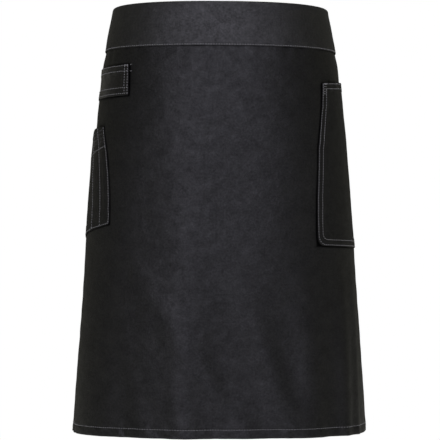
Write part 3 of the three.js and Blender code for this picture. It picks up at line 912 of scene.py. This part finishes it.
# Stitching of the panel and the waistband
SEAM_LEVEL = BAND_BOTTOM + 1.5
HEM_STITCH = HEM_LEVEL + HEM_HEIGHT + 0.3
SIDE_STITCH = HALF_WIDTH - 8.5
BAND_END_STITCH = HALF_WIDTH - 1.8
LINE_END = HALF_WIDTH - 1.5
HEM_LINES = level_lines([HEM_STITCH], -LINE_END, LINE_END)
SIDE_LINES = upright_lines((-SIDE_STITCH, SIDE_STITCH), HEM_STITCH - 8, BAND_BOTTOM - 1)
SEAM_LINES = level_lines([SEAM_LEVEL], -LINE_END, LINE_END)
BAND_END_LINES = upright_lines((-BAND_END_STITCH, BAND_END_STITCH), BAND_BOTTOM + 2, BAND_TOP - 2)

# Seeds of the panel's and the band's faces, each followed by those of its further rows or lines
PANEL_SEED = 11
HEM_SEED = 21
SIDE_SEED = 31
ROPING_SEED = 41
PULL_SEED = 51
BAND_SEED = 61
SEAM_SEED = 71

# Roping of the hem and the pull of the band's seam on the cloth below it
UNEVEN_FADE = 30.0
HEM_PUCKER = 0.3
ROPING = 0.4
ROPING_STRETCH = 0.2
ROPING_FADE = 3.0
ROPING_LENGTH = 11.0
ROPING_SLANT = 0.7
ROPING_WAVES = 5
PULL = 0.22
PULL_LENGTH = 17.0
PULL_REACH = 16.0
PULL_WAVES = 6

# Behind the applied pieces the panel is smoother and pressed in, from COVER_START inside them
COVER_START = 1.0
COVER_FADE = 4.0
COVER_SMOOTH = 0.9
COVER_DEPTH = 0.35


def panel_relief(along, height):
    """Small unevenness of the panel's outer face."""
    below_band = BAND_BOTTOM - height
    relief = uneven(along, height, PANEL_UNEVEN, PANEL_SEED) * ease(below_band / UNEVEN_FADE)
    relief += seam_relief(along, height, HEM_LINES, HEM_SEED, HEM_PUCKER)
    relief += seam_relief(along, height, SIDE_LINES, SIDE_SEED)
    slanted = along + ROPING_SLANT * height
    roping = waves(slanted, ROPING_STRETCH * height, ROPING_LENGTH, ROPING_SEED, ROPING_WAVES)
    relief += ROPING * ease((HEM_STITCH - height) / ROPING_FADE) * roping
    pull = waves(along, 0.0, PULL_LENGTH, PULL_SEED, PULL_WAVES) * bell(below_band / PULL_REACH)
    return relief + PULL * pull


def panel_face(along, height):
    """Outer face of the panel, which lies a little deeper and smoother behind the pieces."""
    behind = -outside_pieces(along, height)[0]
    covered = ease((behind - COVER_START) / COVER_FADE)
    relief = panel_relief(along, height) * (1 - COVER_SMOOTH * covered)
    return skirt_out(along, height) - room_depth(along, height) + relief - COVER_DEPTH * covered


HEM_TURN_END = HEM_HEIGHT + 0.8
HEM_TURN_FADE = 0.8


def panel_wall(along, height):
    """Thickness of the panel, doubled where its side and foot edges are turned in."""
    from_edge = np.minimum(HALF_WIDTH - np.abs(along), height - HEM_LEVEL)
    return CLOTH_WALL * (1 + ease((HEM_TURN_END - from_edge) / HEM_TURN_FADE))


def panel_back(along, height):
    return panel_face(along, height) - panel_wall(along, height)


# Mesh of the panel: stops behind its side and foot edges, even stops between them, and zones
# that hold the edges of the applied pieces, in which the stops are closer
SIDE_STOPS = np.array([0, 0.12, 0.45, 1.0, 3.0, 5.0, 7.2, 8.0, 8.5, 9.0, 9.6, 10.0, 10.8])
FOOT_STOPS = np.array([0, 0.12, 0.45, 1.0, 3.0, 5.0, 7.0, 8.6, 9.4, 9.9, 10.3, 10.7, 11.3, 12.4])
SIDE_ZONE = 13.0
FOOT_ZONE = 15.0
COLUMN_STEP = 4.0
SKIRT_ROW_STEP = 4.2
TUCKED_ROW_STEP = 8.0
CLOSE_STEP = 0.8
CLOSE_COLUMNS = [(-158, -132), (-113, -107), (111, 128)]
CLOSE_ROWS = [(-259, -253), (-246, -229), (-86, -80)]

# The panel's part inside the band ends below the band's top, and its ends lie further in
TUCKED_TOP = BAND_TOP - 1.3
TUCKED_IN = 12.3
TUCKED_FADE = 8.0
PANEL_EDGE_RADIUS = 1.0


def close_stops(low, high, step, zones):
    """Stops from low to high, a step apart outside the zones and CLOSE_STEP apart in them."""
    stops = []
    at = low
    for start, end in zones:
        stops.append(between(at, start, step))
        stops.append(between(start, end, CLOSE_STEP))
        at = end
    stops.append(between(at, high, step))
    return np.concatenate(stops)


def make_panel():
    """The one cloth panel. Inside the band it is narrower, and its very ends aren't turned in."""
    side_stops = HALF_WIDTH - SIDE_STOPS
    open_columns = close_stops(-HALF_WIDTH + SIDE_ZONE, HALF_WIDTH - SIDE_ZONE, COLUMN_STEP, CLOSE_COLUMNS)
    columns = merge_stops(-side_stops, open_columns, side_stops)
    skirt_rows = close_stops(HEM_LEVEL + FOOT_ZONE, BAND_BOTTOM, SKIRT_ROW_STEP, CLOSE_ROWS)
    tucked_rows = between(BAND_BOTTOM, TUCKED_TOP, TUCKED_ROW_STEP)
    rows = merge_stops(HEM_LEVEL + FOOT_STOPS, skirt_rows, tucked_rows)
    uncut, height = np.meshgrid(columns, rows)
    from_side = HALF_WIDTH - np.abs(uncut)
    from_foot = height - HEM_LEVEL
    inside_band = ease((height - BAND_BOTTOM) / TUCKED_FADE)
    along = uncut * (1 - inside_band * TUCKED_IN / HALF_WIDTH)
    out = panel_face(along, height)
    wall = panel_wall(np.where(from_side > 0, uncut, along), height)
    half = 0.5 * wall * (1 - rounded_edge(np.minimum(from_side, from_foot), PANEL_EDGE_RADIUS))
    outer = on_body(along, height, out - half)
    inner = on_body(along, height, out - wall + half)
    wear_and_glint = worn(from_foot, HEM_WEAR) + worn(from_side, SIDE_WEAR)
    wear_and_glint += worn(from_foot - HEM_HEIGHT, HEM_FOLD_WEAR)
    # Painted shadow round the applied pieces on the panel
    painted_shadow = outside_pieces(along, height)[1]
    flat = np.stack([along, height], -1)
    return sheet_object("skirt_cloth", outer, inner, flat, PANEL_CLOTH, wear_and_glint, painted_shadow)


# Waistband, folded double over the panel's top
BAND_CORE = -0.5 * BAND_WALL
BAND_INNER_CORE = -3.3
BAND_PUCKER = 0.16
BAND_CALM = 6.0
INNER_RELIEF = 0.5
BAND_FOOT_STOPS = np.array([0, 0.1, 0.4, 0.9, 1.5, 2.1, 2.8])
BAND_END_STOPS = np.array([0, 0.12, 0.45, 1.0, 2.0])
BAND_MARGIN = 4.0
BAND_ROW_STEP = 2.6
BAND_COLUMN_STEP = 2.8
BEND_STEPS = 9
BAND_END_RADIUS = 1.0
BAND_FOOT_RADIUS = 0.9


def band_face(along, height):
    """Offset of the waistband's outer face, which is calm near its top edge."""
    relief = uneven(along, height, BAND_UNEVEN, BAND_SEED)
    relief += seam_relief(along, height, SEAM_LINES, SEAM_SEED, BAND_PUCKER)
    return relief * ease((BAND_TOP - height) / BAND_CALM)


def band_back(along, height):
    return BAND_INNER_CORE - 0.5 * BAND_WALL - INNER_RELIEF * band_face(along, height)


def make_waistband():
    """A strip that runs up in front, bends over the panel's top and runs down behind it."""
    radius = (BAND_CORE - BAND_INNER_CORE) / 2
    straight = BAND_TOP - BAND_WALL / 2 - radius
    evenly = between(BAND_BOTTOM + BAND_MARGIN, straight, BAND_ROW_STEP)
    leg = merge_stops(BAND_BOTTOM + BAND_FOOT_STOPS, evenly)
    bend = np.linspace(0, math.pi, BEND_STEPS)[1:-1]
    top_core = (BAND_CORE + BAND_INNER_CORE) / 2 + radius * np.cos(bend)
    out = np.concatenate([np.full(len(leg), BAND_CORE), top_core, np.full(len(leg), BAND_INNER_CORE)])
    level = np.concatenate([leg, straight + radius * np.sin(bend), leg[::-1]])
    unfolded = np.concatenate([leg, straight + radius * bend, 2 * straight + math.pi * radius - leg[::-1]])
    side_out = np.gradient(level)
    side_up = -np.gradient(out)
    size = np.hypot(side_out, side_up)
    rows = (out, level, unfolded, side_out / size, side_up / size)
    out, level, unfolded, side_out, side_up = (row[:, None] for row in rows)
    ends = HALF_WIDTH - BAND_END_STOPS
    evenly = between(-HALF_WIDTH + BAND_MARGIN, HALF_WIDTH - BAND_MARGIN, BAND_COLUMN_STEP)
    along, height = np.broadcast_arrays(merge_stops(-ends, evenly, ends), level)
    front = band_face(along[: len(leg)], height[: len(leg)])
    top = np.zeros((len(bend), along.shape[1]))
    core = out + np.concatenate([front, top, -INNER_RELIEF * front[::-1]])
    from_end = rounded_edge(HALF_WIDTH - np.abs(along), BAND_END_RADIUS)
    from_foot = level - BAND_BOTTOM
    half = 0.5 * BAND_WALL * np.minimum(from_end, rounded_edge(from_foot, BAND_FOOT_RADIUS))
    outer = on_body(along, height + side_up * half, core + side_out * half)
    inner = on_body(along, height - side_up * half, core - side_out * half)
    from_top = unfolded - (straight + math.pi * radius / 2)
    wear_and_glint = worn(from_top, BAND_TOP_WEAR) + worn(from_foot, BAND_FOOT_WEAR) + 0 * along
    flat = np.stack(np.broadcast_arrays(along, unfolded), -1)
    return sheet_object("band_cloth", outer, inner, flat, BAND_CLOTH, wear_and_glint)


# Stitches: sides, and a profile with share of the half length, share of the radius, and rise
STITCH_SIDES = 6
STITCH_PROFILE = [
    (-1.0, 0.25, -0.32),
    (-0.8, 0.8, -0.02),
    (-0.4, 1.0, 0.16),
    (0.4, 1.0, 0.16),
    (0.8, 0.8, -0.02),
    (1.0, 0.25, -0.32),
]

# Unevenness of the stitches: mean and spread of their turn, spread of their place, and lengths
STITCH_TURN = (0.06, 0.05)
STITCH_SHIFT = 0.07
STITCH_LENGTHS = (0.92, 1.06)
FINE_STEP = 0.7


def stitch_places(line, seed, pitch=STITCH_PITCH):
    """Middles, directions and lengths of the stitches along a line in flat measures."""
    points, _ = walk(line, pitch)
    middle = (points[1:] + points[:-1]) / 2
    step = points[1:] - points[:-1]
    length = np.hypot(*step.T)
    random = np.random.default_rng(seed)
    turn = np.arctan2(step[:, 1], step[:, 0]) + random.normal(*STITCH_TURN, len(middle))
    middle = middle + random.normal(0, STITCH_SHIFT, middle.shape)
    share = STITCH_LENGTH / STITCH_PITCH * random.uniform(*STITCH_LENGTHS, len(middle))
    return middle, turn, length * share


def stitches_object(name, groups):
    """Many stitches as one mesh. Each group gives its stitches' middles, directions, lengths and
    offsets of the face that they lie on, then the side of that face and the thread's width."""
    middles, turns, lengths, outs = (np.concatenate([g[item] for g in groups]) for item in range(4))
    counts = [len(g[0]) for g in groups]
    lift = np.repeat([g[4] for g in groups], counts)
    width = np.repeat([g[5] for g in groups], counts)
    values = (middles[:, 0], middles[:, 1], turns, lengths, outs, lift, width)
    x, y, turn, length, out, side, width = (value[:, None, None] for value in values)
    reach, fullness, dip = np.array(STITCH_PROFILE).T[:, None, :, None]
    angle = 2 * math.pi * np.arange(STITCH_SIDES) / STITCH_SIDES
    run = reach * length / 2
    across = width / 2 * fullness * np.cos(angle)
    rise = width / 2 * fullness * np.sin(angle) + dip
    along = x + run * np.cos(turn) - across * np.sin(turn)
    height = y + run * np.sin(turn) + across * np.cos(turn)
    points = on_body(along, height, out + side * rise).reshape(-1, 3)
    starts = len(STITCH_PROFILE) * STITCH_SIDES * np.arange(len(turns))
    faces = []
    for part in tube_faces(len(STITCH_PROFILE), STITCH_SIDES):
        placed = part[None] + starts[:, None, None]
        placed[lift < 0] = placed[lift < 0][:, :, ::-1]
        faces += placed.reshape(-1, part.shape[1]).tolist()
    return new_object(name, points, faces, np.stack([along, height], -1).reshape(-1, 2), THREAD)


def face_group(lines, face, seed, lift=1.0, pitch=STITCH_PITCH, wide=THREAD_WIDTH):
    """Stitches on a face, along lines in the flat measures."""
    found = [stitch_places(line, seed + order, pitch) for order, line in enumerate(lines)]
    middle, turn, length = (np.concatenate(values) for values in zip(*found))
    return middle, turn, length, face(middle[:, 0], middle[:, 1]), lift, wide


def applied_groups(piece, lines, seed, wide=THREAD_WIDTH):
    """Stitches on an applied piece, along lines in its own frame, and their backs inside."""
    groups = []
    for order, line in enumerate(lines):
        fine, at = walk(line, FINE_STEP)
        along, height = piece.place(fine[:, 0], fine[:, 1])
        middle, turn, length = stitch_places(np.stack([along, height], -1), seed + order)
        share = (np.arange(len(middle)) + 0.5) / len(middle) * at[-1]
        base, thick, relief = piece.face(np.interp(share, at, fine[:, 0]), np.interp(share, at, fine[:, 1]))
        groups.append((middle, turn, length, base + thick + relief, 1.0, wide))
        groups.append((middle, turn, length, panel_back(middle[:, 0], middle[:, 1]), -1.0, THREAD_WIDTH))
    return groups


def bar_lines(start, end, count, spacing):
    """Close parallel lines, one below the other."""
    return [[(start[0], start[1] - i * spacing), (end[0], end[1] - i * spacing)] for i in range(count)]


def end_bars(patch, near, far, level, count, spacing):
    """The same bars at both ends of an applied piece, from near to far behind its edge."""
    front = bar_lines((near, level), (far, level), count, spacing)
    return front + bar_lines((patch.width - far, level), (patch.width - near, level), count, spacing)


# Bar tacks, fine bars, and the two loose thread ends beside the towel loop
TACK_SPACING = 0.5
LOOP_TACKS = end_bars(LOOP, 1.0, 7.2, 35.8, 3, TACK_SPACING)
HIP_TACKS = end_bars(HIP, 3.4, 8.4, 188.8, 3, TACK_SPACING)
HIP_LADDER = end_bars(HIP, 1.8, 7.2, 185.2, 4, 2.9)
PEN_LADDER = bar_lines((2.8, 110.5), (16.6, 109.5), 4, 4.4) + bar_lines((18.0, 109.4), (35.4, 107.8), 4, 4.4)
PEN_LADDER_WIDTH = 0.26
LOOSE_ENDS = [
    [LOOP.to_flat(0.9, 35.2), LOOP.to_flat(-4.8, 36.3)],
    [LOOP.to_flat(0.9, 28.4), LOOP.to_flat(-4.4, 28.1)],
]
LOOSE_LENGTH = 9.0
LOOSE_WIDTH = 0.5

# Boxes with a cross that hold the ties' ends in the waistband
BOX_NEAR = HALF_WIDTH - 19.0
BOX_FAR = HALF_WIDTH - 4.0
BOX_HALF = 10.5


def box_lines(side):
    near, far = side * BOX_NEAR, side * BOX_FAR
    low, high = -BOX_HALF, BOX_HALF
    corners = [(near, low), (far, low), (far, high), (near, high), (near, low)]
    return [corners, [(near, low), (far, high)], [(near, high), (far, low)]]


# Seeds of the stitches. Each line of a group takes the next one.
SEEDS = {"seam": 300, "skirt": 310, "box": 340, "loop": 330, "loose": 345}
SEEDS.update(pen=350, ladder=360, hip=370)


def make_stitches():
    """The rows of stitches of each piece, with those of the backs turned inwards."""
    boxes = box_lines(-1) + box_lines(1) + BAND_END_LINES
    skirt_lines = HEM_LINES + SIDE_LINES
    band = [
        face_group(SEAM_LINES, band_face, SEEDS["seam"]),
        face_group(SEAM_LINES, band_back, SEEDS["seam"], -1.0),
        face_group(boxes, band_face, SEEDS["box"]),
        face_group(boxes, band_back, SEEDS["box"], -1.0),
    ]
    skirt = [
        face_group(skirt_lines, panel_face, SEEDS["skirt"]),
        face_group(skirt_lines, panel_back, SEEDS["skirt"], -1.0),
    ]
    loop = applied_groups(TOWEL_LOOP, LOOP_LINES + LOOP_TACKS, SEEDS["loop"])
    loop.append(face_group(LOOSE_ENDS, panel_face, SEEDS["loose"], 1.0, LOOSE_LENGTH, LOOSE_WIDTH))
    pen = applied_groups(PEN_POCKET, PEN_LINES, SEEDS["pen"])
    pen += applied_groups(PEN_POCKET, PEN_LADDER, SEEDS["ladder"], PEN_LADDER_WIDTH)
    hip = applied_groups(HIP_POCKET, HIP_LINES + HIP_TACKS + HIP_LADDER, SEEDS["hip"])
    rows = {"band": band, "skirt": skirt, "loop": loop, "pen": pen, "hip": hip}
    return {name + "_stitches": stitches_object(name + "_stitches", groups) for name, groups in rows.items()}


# Ties
TIE_WIDTH = 25.0
TIE_STEP = 1.5
TIE_EDGE = np.array([0, 0.15, 0.6])
TIE_EDGE_RADIUS = 0.6
TIE_EVENLY = between(2, TIE_WIDTH - 2, TIE_STEP)
TIE_OFFSETS = merge_stops(TIE_EDGE, TIE_EVENLY, TIE_WIDTH - TIE_EDGE) - TIE_WIDTH / 2
TIE_START = HALF_WIDTH - 12
TIE_CORE = -TUCK_DEPTH - TIE_WALL / 2
TIE_NARROWING = 0.42
TIE_PLEAT = 1.1
TIE_PLEAT_TURN = 1.05
TIE_PLEAT_PHASE = 0.6
TIE_CROWN = 0.8

# Knot: half its width, depth, and how far the ties run into it
KNOT_HALF = 12.0
KNOT_DEPTH = 15.0
KNOT_OVERLAP = 4.0


def make_tie(name, side):
    """Strap from the band's end to the knot, gathered in soft pleats towards it."""
    reach = half_girth(0.0) - KNOT_HALF + KNOT_OVERLAP
    along, offset = np.meshgrid(between(TIE_START, reach, TIE_STEP), TIE_OFFSETS)
    near = ease((along - HALF_WIDTH) / (reach - HALF_WIDTH))
    height = offset * (1 - TIE_NARROWING * near)
    crown = TIE_CROWN * near * (1 - (offset / (TIE_WIDTH / 2)) ** 2)
    pleat = TIE_PLEAT * near * np.sin(offset * TIE_PLEAT_TURN + TIE_PLEAT_PHASE * side)
    from_edge = TIE_WIDTH / 2 - np.abs(offset)
    half = 0.5 * TIE_WALL * rounded_edge(from_edge, TIE_EDGE_RADIUS)
    core = TIE_CORE + pleat + crown
    outer = on_body(side * along, height, core + half)
    inner = on_body(side * along, height, core - half)
    flat = np.stack([side * along, offset], -1)
    return sheet_object(name, outer, inner, flat, TIE_CLOTH, worn(from_edge, STRAP_WEAR))


def unit(vectors):
    return vectors / np.maximum(np.linalg.norm(vectors, axis=1), 1e-6)[:, None]


def smooth_path(points, count):
    """Smooth curve through points."""
    points = np.asarray(points, float)
    knots = running_sum(np.linalg.norm(np.diff(points, axis=0), axis=1) ** 0.5)
    slope = np.gradient(points, knots, axis=0)
    at = np.linspace(0, knots[-1], count)
    i = np.clip(np.searchsorted(knots, at, side="right") - 1, 0, len(knots) - 2)
    span = (knots[i + 1] - knots[i])[:, None]
    t = ((at - knots[i]) / span[:, 0])[:, None]
    h1, h2 = 2 * t**3 - 3 * t**2 + 1, t**3 - 2 * t**2 + t
    h3, h4 = -2 * t**3 + 3 * t**2, t**3 - t**2
    return h1 * points[i] + h2 * span * slope[i] + h3 * points[i + 1] + h4 * span * slope[i + 1]


# Strands of the knot: name, thickness, sense of the turns, seed, and points from the knot's middle
STRAND_WIDTH = 12.0
STRAND_STEPS = 70
STRAND_SIDES = 40
STRAND_FLATNESS = 0.8
STRAND_TURNS = np.array([0, 10, 0, -10, 0, 20, 0])
LEFT_POINTS = [(13, -2, 1), (8, -1, 2), (1, 4, 5), (-6, 5.2, 1)]
LEFT_POINTS += [(-8, 1.5, -4), (-3, -2.5, -5), (2, -1, -8), (5, 1, -13)]
RIGHT_POINTS = [(-13, -2, 1), (-8, -1.5, 3), (-2, -2.5, 6), (5, 0.5, 7)]
RIGHT_POINTS += [(8, 4, 1), (3, 6, -4), (-3, 4.5, -7), (-6, 2.5, -13)]
STRANDS = [("knot_left", 5.2, 1, 5, LEFT_POINTS), ("knot_right", 5.0, -1, 6, RIGHT_POINTS)]

# Pleats of a strand: depth as a share of its size, count round it, and twist along it
COARSE_PLEAT = (0.07, 5, 5)
FINE_PLEAT = (0.05, 9, -7)


def pleat(size, angle, share, phase=0.0):
    depth, count, twist = size
    return depth * np.sin(count * angle + twist * share + phase)


def make_strand(name, thick, sense, seed, points):
    """Bunched strap swept along a smooth path: a flat oval with soft pleats along it."""
    path = smooth_path(points, STRAND_STEPS)
    tangent = unit(np.gradient(path, axis=0))
    side = unit(np.cross(tangent, np.array([0.0, 1.0, 0.0])))
    up = np.cross(side, tangent)
    share = np.linspace(0, 1, STRAND_STEPS)
    places = np.linspace(0, 1, len(STRAND_TURNS))
    turn = np.radians(np.interp(share, places, sense * STRAND_TURNS))[:, None]
    wide_way = side * np.cos(turn) + up * np.sin(turn)
    thick_way = up * np.cos(turn) - side * np.sin(turn)
    angle = 2 * math.pi * np.arange(STRAND_SIDES) / STRAND_SIDES
    phase = np.random.default_rng(seed).uniform(0, 6)
    share = share[:, None]
    swell = 1 + pleat(COARSE_PLEAT, angle, share, phase) + pleat(FINE_PLEAT, angle, share)
    across = STRAND_WIDTH / 2 * np.cos(angle) * swell
    sine = np.sin(angle)
    rise = thick / 2 * np.sign(sine) * np.abs(sine) ** STRAND_FLATNESS * swell
    sideways = across[..., None] * wide_way[:, None, :]
    tube = path[:, None, :] + sideways + rise[..., None] * thick_way[:, None, :]
    tube = tube.reshape(-1, 3)
    parts = tube_faces(STRAND_STEPS, STRAND_SIDES)
    if signed_volume(tube, parts[0]) < 0:
        parts = [part[:, ::-1] for part in parts]
    faces = [face for part in parts for face in part.tolist()]
    walked = running_sum(np.linalg.norm(np.diff(path, axis=0), axis=1))
    flat = np.stack(np.broadcast_arrays(angle * STRAND_WIDTH / 4, walked[:, None]), -1)
    origin = on_body(half_girth(0.0), 0.0, TIE_CORE + KNOT_DEPTH / 4)
    return new_object(name, tube + origin, faces, flat.reshape(-1, 2), TIE_CLOTH, np.zeros(len(tube)))


# Tails of the ties
TAIL_LENGTH = 210.0
TAIL_SPLAY = math.tan(math.radians(9))
TAIL_START = 3.0
TAIL_STEP = 2.5
TAIL_END_STOPS = np.array([0, 0.15, 0.6, 2.0])
TAIL_GAP = 4.2
TAIL_TUCK = 4.5
TAIL_TUCK_LENGTH = 10.0
TAIL_BUNCHED = 0.46
TAIL_OPEN_START = 9.0
TAIL_OPEN_LENGTH = 34.0
TAIL_TURN = 12.0
TAIL_TURN_FADE = 1.5
TAIL_TURN_SHARE = 0.8
TAIL_BUNCH = 1.2
TAIL_BUNCH_TURN = 0.95
TAIL_BUNCH_LIFT = 1.4
TAIL_LEAN = 0.22
TAIL_REST = 0.8

# How a tail swings sideways, twists and waves: size, length in which it turns, and phase
TAIL_SWING = (2.0, 33.0, 1.0)
TAIL_TWIST = (0.3, 46.0, 1.3)
TAIL_WAVE = (1.4, 27.0, 2.0)


def swing(down, side, row):
    size, length, phase = row
    return size * np.sin(down / length + phase * side)


def make_tail(name, side, layer):
    """Tail of a tie: bunched where it leaves the knot, flat below, with a turned end."""
    fall = merge_stops(between(TAIL_START, TAIL_LENGTH - 4, TAIL_STEP), TAIL_LENGTH - TAIL_END_STOPS)
    offset, down = np.meshgrid(TIE_OFFSETS, fall)
    open_out = ease((down - TAIL_OPEN_START) / TAIL_OPEN_LENGTH)
    shrink = TAIL_BUNCHED + (1 - TAIL_BUNCHED) * open_out
    centre = side * (TIE_WIDTH / 4 + down * TAIL_SPLAY) + swing(down, side, TAIL_SWING)
    tucked_in = TAIL_TUCK * (1 - ease((down - TAIL_START) / TAIL_TUCK_LENGTH))
    body = on_body(half_girth(-down), -down, TAIL_GAP + layer - tucked_in)
    bunch = (1 - open_out) * (TAIL_BUNCH * np.cos(offset * TAIL_BUNCH_TURN + side) + TAIL_BUNCH_LIFT)
    twist = swing(down, side, TAIL_TWIST) + TAIL_LEAN * side * down / TAIL_LENGTH
    wave = swing(down, side, TAIL_WAVE) * open_out
    x = centre + offset * shrink
    y = body[..., 1] + bunch + twist * offset * open_out + wave + TAIL_REST
    from_edge = TIE_WIDTH / 2 - np.abs(offset)
    from_end = TAIL_LENGTH - down
    turned = 1 + TAIL_TURN_SHARE * ease((TAIL_TURN - from_end) / TAIL_TURN_FADE)
    half = 0.5 * TIE_WALL * turned * rounded_edge(np.minimum(from_edge, from_end), TIE_EDGE_RADIUS)
    outer = np.stack([x, y + half, body[..., 2]], -1)
    inner = np.stack([x, y - half, body[..., 2]], -1)
    wear_and_glint = worn(from_edge, STRAP_WEAR) + worn(from_end, TAIL_END_WEAR)
    return sheet_object(name, outer, inner, np.stack([offset, -down], -1), TIE_CLOTH, wear_and_glint)


def declare(piece, slot, *nodes):
    """Makes a piece ride on the one body and hides the nodes that it replaces. slot, its finish, is not
    used.
    """
    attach(piece, "root")
    if nodes:
        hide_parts(*nodes)
    return piece


def make_apron():
    stitches = make_stitches()
    for piece in stitches.values():
        declare(piece, "pocket_cloth")
    skirt = declare(make_panel(), "panel_cloth", "apron_panel")
    band = declare(make_waistband(), "band_cloth", "waistband")
    loop = declare(TOWEL_LOOP.make("towel_loop_cloth", LOOP_CLOTH), "pocket_cloth", "towel_loop")
    pen = declare(PEN_POCKET.make("pen_pocket_cloth", POCKET_CLOTH), "pocket_cloth", "pen_pocket")
    hip = declare(HIP_POCKET.make("hip_pocket_cloth", POCKET_CLOTH), "pocket_cloth", "hip_pocket")
    tie_left = declare(make_tie("tie_left_strap", 1), "tie_cloth", "waist_tie_left")
    tie_right = declare(make_tie("tie_right_strap", -1), "tie_cloth", "waist_tie_right")
    tail_left = declare(make_tail("tail_left", 1, 2.4), "tie_cloth")
    tail_right = declare(make_tail("tail_right", -1, 0.0), "tie_cloth")
    for strand in STRANDS:
        declare(make_strand(*strand), "tie_cloth", "tie_knot")
    rows = {name: [stitches[name + "_stitches"]] for name in ("skirt", "band", "loop", "pen", "hip")}
    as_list(rows["skirt"])
    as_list(rows["band"])
    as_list(rows["loop"])
    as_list(rows["pen"])
    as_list(rows["hip"])


# Camera, in metres
CAMERA_DISTANCE = 2.4
CAMERA_HEIGHT = -0.2252
CAMERA_SIDE = 0.0005
LENS = 165.0
SENSOR = 36.0
CLIP_END = 60.0

# Floor and dome, in metres
FLOOR_LEVEL = -0.82
FLOOR_RADIUS = 2.9
FLOOR_COLOUR = (0.8, 0.8, 0.79)
DOME_RADIUS = 9.0
STAGE_ROUGHNESS = 0.9

# Softboxes: name, place and size in metres, power in watts and colour. All face AIM.
AIM = (0, 0, -0.2)
WORLD_STRENGTH = 0.078
WORLD_COLOUR = (1.0, 0.99, 0.68)
SOFTBOXES = [
    ("key_high", (-0.1, -2.8, 1.0), (1.0, 0.8), 29, (0.86, 0.84, 1.0)),
    ("key_front", (0.06, -3.0, -0.1), (0.6, 1.4), 3.4, (0.6, 0.6, 1.0)),
    ("side_right", (2.5, 0.9, 1.1), (0.9, 0.9), 13, (1.0, 0.98, 0.8), False),
    ("side_left", (-2.5, 0.9, 1.1), (0.9, 0.9), 10, (1.0, 0.98, 0.8), False),
    ("back_high", (0.1, 2.6, 1.5), (1.4, 0.9), 26, (0.95, 0.95, 1.0)),
]


def make_camera():
    data = bpy.data.cameras.new("camera")
    data.sensor_width = SENSOR
    data.lens = LENS
    data.clip_end = CLIP_END
    camera = bpy.data.objects.new("camera", data)
    camera.location = (CAMERA_SIDE, -CAMERA_DISTANCE, CAMERA_HEIGHT)
    camera.rotation_euler = (math.pi / 2, 0, 0)
    bpy.context.scene.collection.objects.link(camera)
    bpy.context.scene.camera = camera


def make_softbox(name, place, size, power, colour, glossy=True):
    data = bpy.data.lights.new(name, "AREA")
    data.shape = "RECTANGLE"
    data.size, data.size_y = size
    data.energy = power
    data.color = colour
    light = bpy.data.objects.new(name, data)
    light.location = place
    light.visible_glossy = glossy
    way = Vector(AIM) - Vector(place)
    light.rotation_euler = way.to_track_quat("-Z", "Y").to_euler()
    bpy.context.scene.collection.objects.link(light)


def plain_material(name, colour, glow):
    material, _, shader = new_material(name)
    shader.inputs["Base Color"].default_value = (*colour, 1)
    shader.inputs["Roughness"].default_value = STAGE_ROUGHNESS
    shader.inputs["Emission Color"].default_value = (1, 1, 1, 1)
    shader.inputs["Emission Strength"].default_value = glow
    return material


def make_stage():
    """A pale round floor, and a white dome round everything that only the camera sees."""
    place = (0, 0, FLOOR_LEVEL)
    bpy.ops.mesh.primitive_circle_add(vertices=96, radius=FLOOR_RADIUS, fill_type="NGON", location=place)
    floor = bpy.context.object
    floor.name = "studio_floor"
    floor.data.materials.append(plain_material("pale_floor", FLOOR_COLOUR, 0.0))
    bpy.ops.mesh.primitive_uv_sphere_add(segments=64, ring_count=32, radius=DOME_RADIUS, location=(0, 0, 0))
    dome = bpy.context.object
    dome.name = "studio_dome"
    dome.data.materials.append(plain_material("white_dome", (0, 0, 0), 1.0))
    dome.visible_diffuse = False
    dome.visible_glossy = False
    dome.visible_shadow = False
    dome.visible_transmission = False
    dome.visible_volume_scatter = False


def make_lights():
    world = bpy.data.worlds.new("studio")
    world.use_nodes = True
    background = world.node_tree.nodes["Background"]
    background.inputs["Color"].default_value = (*WORLD_COLOUR, 1)
    background.inputs["Strength"].default_value = WORLD_STRENGTH
    bpy.context.scene.world = world
    for box in SOFTBOXES:
        make_softbox(*box)


bpy.context.scene.view_settings.view_transform = "Standard"
make_camera()
make_apron()
make_stage()
make_lights()
